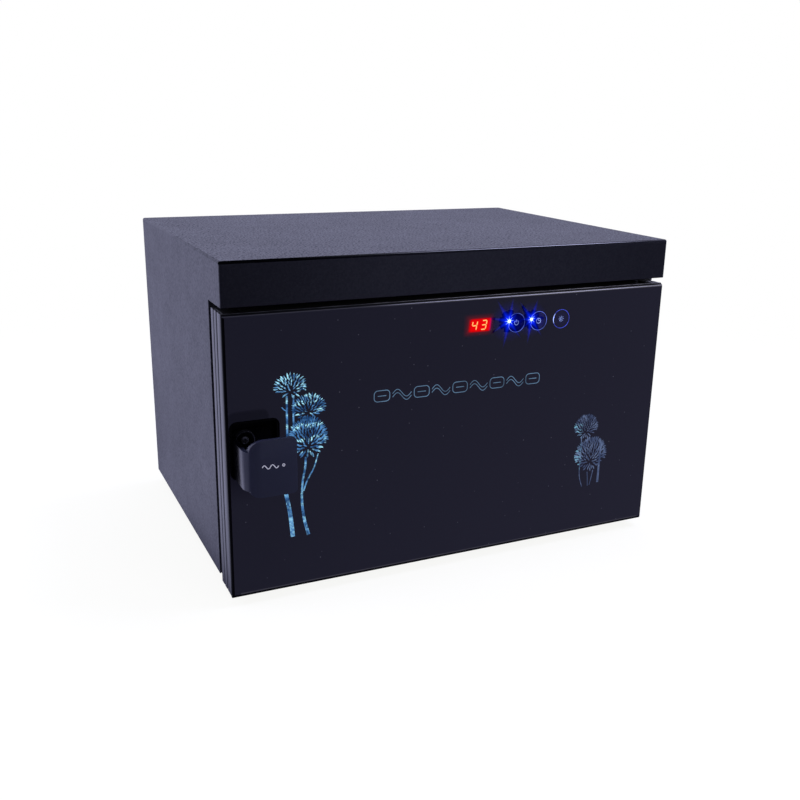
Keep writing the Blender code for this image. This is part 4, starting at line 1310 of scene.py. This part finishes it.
# each rail's upright leg lies against the liner, and its rivets show below the ledge
left_face = box_mm("rack_rail_left")[0][0] + SHEET
right_face = box_mm("rack_rail_right")[1][0] - SHEET
mesh = bmesh.new()
for face_x, way in ((left_face, 1), (right_face, -1)):
    for y in (78.0, 170.0, 262.0):
        spin(mesh, point(face_x, y, 55.2), (way, 0, 0), SMALL_RIVET)
add("rail_rivets", mesh, STEEL, "cabinet")

# ------------------------------------------------------------------ lamp tube
(tx0, tube_front, tube_low), (tx1, tube_back, tube_top) = box_mm("uv_lamp_tube")
ty, tz = (tube_front + tube_back) / 2, (tube_low + tube_top) / 2
tube_radius = (tube_top - tube_low) / 2


def turned(mesh, profile, count=32):
    """Spins (x, radius) pairs about the tube's axis."""
    side, up = Vector((0, 1, 0)), Vector((0, 0, 1))
    solid(mesh, [hoop(mesh, point(x, ty, tz), side, up, r, count) for x, r in profile])


def mirrored(profile):
    """Adds the right half to (distance from the end, radius) pairs of the left half."""
    return [(tx0 + x, r) for x, r in profile] + [(tx1 - x, r) for x, r in profile[::-1]]


mesh = bmesh.new()
turned(mesh, mirrored([(0, 4.8), (0.5, 6.6), (1.6, tube_radius)]))
turned(mesh, mirrored([(1.6, 4.0), (3, tube_radius - 1.1)]))
tube = add("lamp_tube", mesh, tube_glass("lamp_tube_glass"), "lamp")
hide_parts("uv_lamp_tube")

# a stepped stem, two support wires and a coil between their tips
TUNGSTEN = plated("electrode_metal", (0.35, 0.33, 0.31), 0.3)
STEM = ((1.9, 2.6), (7, 2.4), (13, 1.2), (16, 0.9))  # distance from the tube's end, radius
for side, end, way in (("left", tx0, 1), ("right", tx1, -1)):
    mesh = bmesh.new()
    turned(mesh, [(end + way * x, r) for x, r in STEM][::way], 16)
    for k in (-1, 1):
        root = point(end + way * 12, ty + k * 0.9, tz)
        bar(mesh, root, point(end + way * 24, ty + k * 2.6, tz), 0.28, 8, dome=False)
    coil = []
    for j in range(41):
        t = j / 40
        a = t * pi * 16
        x = end + way * (24 + 0.7 * cos(a))
        coil.append(point(x, ty - 2.6 + 5.2 * t, tz + 0.7 * sin(a)))
    for a, b in zip(coil, coil[1:]):
        bar(mesh, a, b, 0.14, 6, dome=False)
    add(f"lamp_electrode_{side}", mesh, TUNGSTEN, "lamp")


# ------------------------------------------------------------------ stage
def floor_paper():
    """White paper to the camera; other rays see light levels set for the reflections."""
    mat = Material("floor_paper")
    place = mat.node("SeparateXYZ", {0: mat.geo["Position"]}).outputs
    x, y = place["X"], place["Y"]

    def ramp(value, source, to=(0, 1)):
        return mat.span(value, source, to, smooth=True)

    cloud = mat.span(mat.noise(3, detail=3), (0.3, 0.7))
    paper = mat.mix(cloud, (0.13, 0.13, 0.125), (0.15, 0.15, 0.145))
    # bright beside and behind the cabinet, even and low before the door
    aside = ramp(mat.math("ABSOLUTE", x), (0.215, 0.245))
    beside = mat.times(aside, ramp(y, (-0.175, -0.125)))
    bright = mat.math("MAXIMUM", ramp(y, (-0.12, 0.22)), beside)
    # painted shadow: from 0.235 m out to 0.330 m aside, the dimming behind the cabinet ends
    close = ramp(mat.math("ABSOLUTE", x), (0.330, 0.235))
    near = mat.times(close, ramp(y, (0.10, 0.30)))
    bright = mat.times(bright, mat.inverse(mat.times(near, 0.30)))
    seen = mat.mix(bright, (0.15, 0.148, 0.25), (0.78, 0.79, 1.14))
    diffuse = mat.node("BsdfDiffuse", {"Color": paper}).outputs[0]
    lift = mat.emission((1, 1, 0.985), 0.90)
    lit = mat.node("AddShader", {0: diffuse, 1: lift}).outputs[0]
    # the paper fades to plain white away from the cabinet
    away = mat.math("SQRT", mat.plus(mat.times(x, x), mat.times(y, y)))
    eye = mat.mix_shader(ramp(away, (0.45, 1.1)), lit, mat.emission((1, 1, 1), 1.0))
    camera_ray = mat.node("LightPath").outputs["Is Camera Ray"]
    return mat.output(mat.mix_shader(camera_ray, mat.emission(seen, 0.95), eye))


data = bpy.data.meshes.new("floor")
mesh = bmesh.new()
bmesh.ops.create_grid(mesh, x_segments=1, y_segments=1, size=14.0)
mesh.to_mesh(data)
mesh.free()
ground = bpy.data.objects.new("floor", data)
scene.collection.objects.link(ground)
data.materials.append(floor_paper())

# ------------------------------------------------------------------ world
world = bpy.data.worlds.new("studio")
scene.world = world
world.use_nodes = True
world.node_tree.nodes.clear()
sky = Shader(world.node_tree)
direction = sky.node("TexCoord").outputs["Generated"]
heading = sky.node("SeparateXYZ", {0: direction}).outputs
# light from behind that fades upwards, a soft top, and a round softbox high on the right
behind = sky.span(heading["Y"], (-0.35, 0.45), to=(0.045, 1.05), smooth=True)
fading = sky.span(heading["Z"], (0.50, 0.82), to=(1.0, 0.30), smooth=True)
above = sky.span(heading["Z"], (0.45, 0.95), to=(0.0, 0.30), smooth=True)
SOFTBOX = Vector((0.56, -0.06, 0.83)).normalized()
facing = sky.node("VectorMath", {0: direction, 1: SOFTBOX}, operation="DOT_PRODUCT")
softbox = sky.span(facing.outputs["Value"], (0.960, 0.985), to=(0.0, 10.0), smooth=True)
level = sky.plus(sky.math("MAXIMUM", sky.times(behind, fading), above), softbox)
strength = sky.times(level, 1.0)
light = sky.node("Background", {"Color": (0.71, 0.72, 1.03), "Strength": strength}).outputs[0]
white = sky.node("Background", {"Color": (1, 1, 1), "Strength": 1.0}).outputs[0]
camera_ray = sky.node("LightPath").outputs["Is Camera Ray"]
sky.node("OutputWorld", {"Surface": sky.mix_shader(camera_ray, light, white)})


# ------------------------------------------------------------------ lights
def area(name, at, target, size, power, colour, glossy=True):
    lamp = bpy.data.lights.new(name, "AREA")
    lamp.shape = "RECTANGLE"
    lamp.size, lamp.size_y = size
    lamp.energy = power
    lamp.color = colour
    made = bpy.data.objects.new(name, lamp)
    made.location = at
    made.rotation_euler = (Vector(target) - Vector(at)).to_track_quat("-Z", "Y").to_euler()
    made.visible_glossy = glossy
    scene.collection.objects.link(made)


area(
    "key_left", at=(-1.9, 0.5, 1.3), target=(0, 0, 0.15), size=(1.2, 1.2), power=14,
    colour=(0.84, 0.87, 1.0),
)
area(
    "front_fill", at=(0.7, -2.1, 0.5), target=(0, -0.14, 0.12), size=(1.8, 1.2), power=27,
    colour=(0.97, 0.98, 1.0), glossy=False,
)
area(
    "top_soft", at=(0.1, 0.4, 1.9), target=(0, 0, 0.1), size=(1.4, 1.4), power=10,
    colour=(0.84, 0.87, 1.0),
)

# ------------------------------------------------------------------ camera
lens = bpy.data.cameras.new("camera")
camera = bpy.data.objects.new("camera", lens)
scene.collection.objects.link(camera)
yaw, pitch, roll = radians(25.5067), radians(17.1121), radians(1.101)
forward = Vector((sin(yaw) * cos(pitch), cos(yaw) * cos(pitch), -sin(pitch)))
level_right = Vector((cos(yaw), -sin(yaw), 0))
level_up = level_right.cross(forward)
right = level_right * cos(roll) + level_up * sin(roll)
up = -level_right * sin(roll) + level_up * cos(roll)
rotation = Matrix((right, up, -forward)).transposed().to_4x4()
camera.matrix_world = Matrix.Translation(point(-172.0, -686.1, 383.1)) @ rotation
lens.sensor_width = 36.0
lens.lens = 42.4431
lens.shift_x = -0.008675
lens.shift_y = 0.0008625
lens.clip_start = 0.05
lens.clip_end = 60
scene.camera = camera
scene.view_settings.view_transform = "Standard"
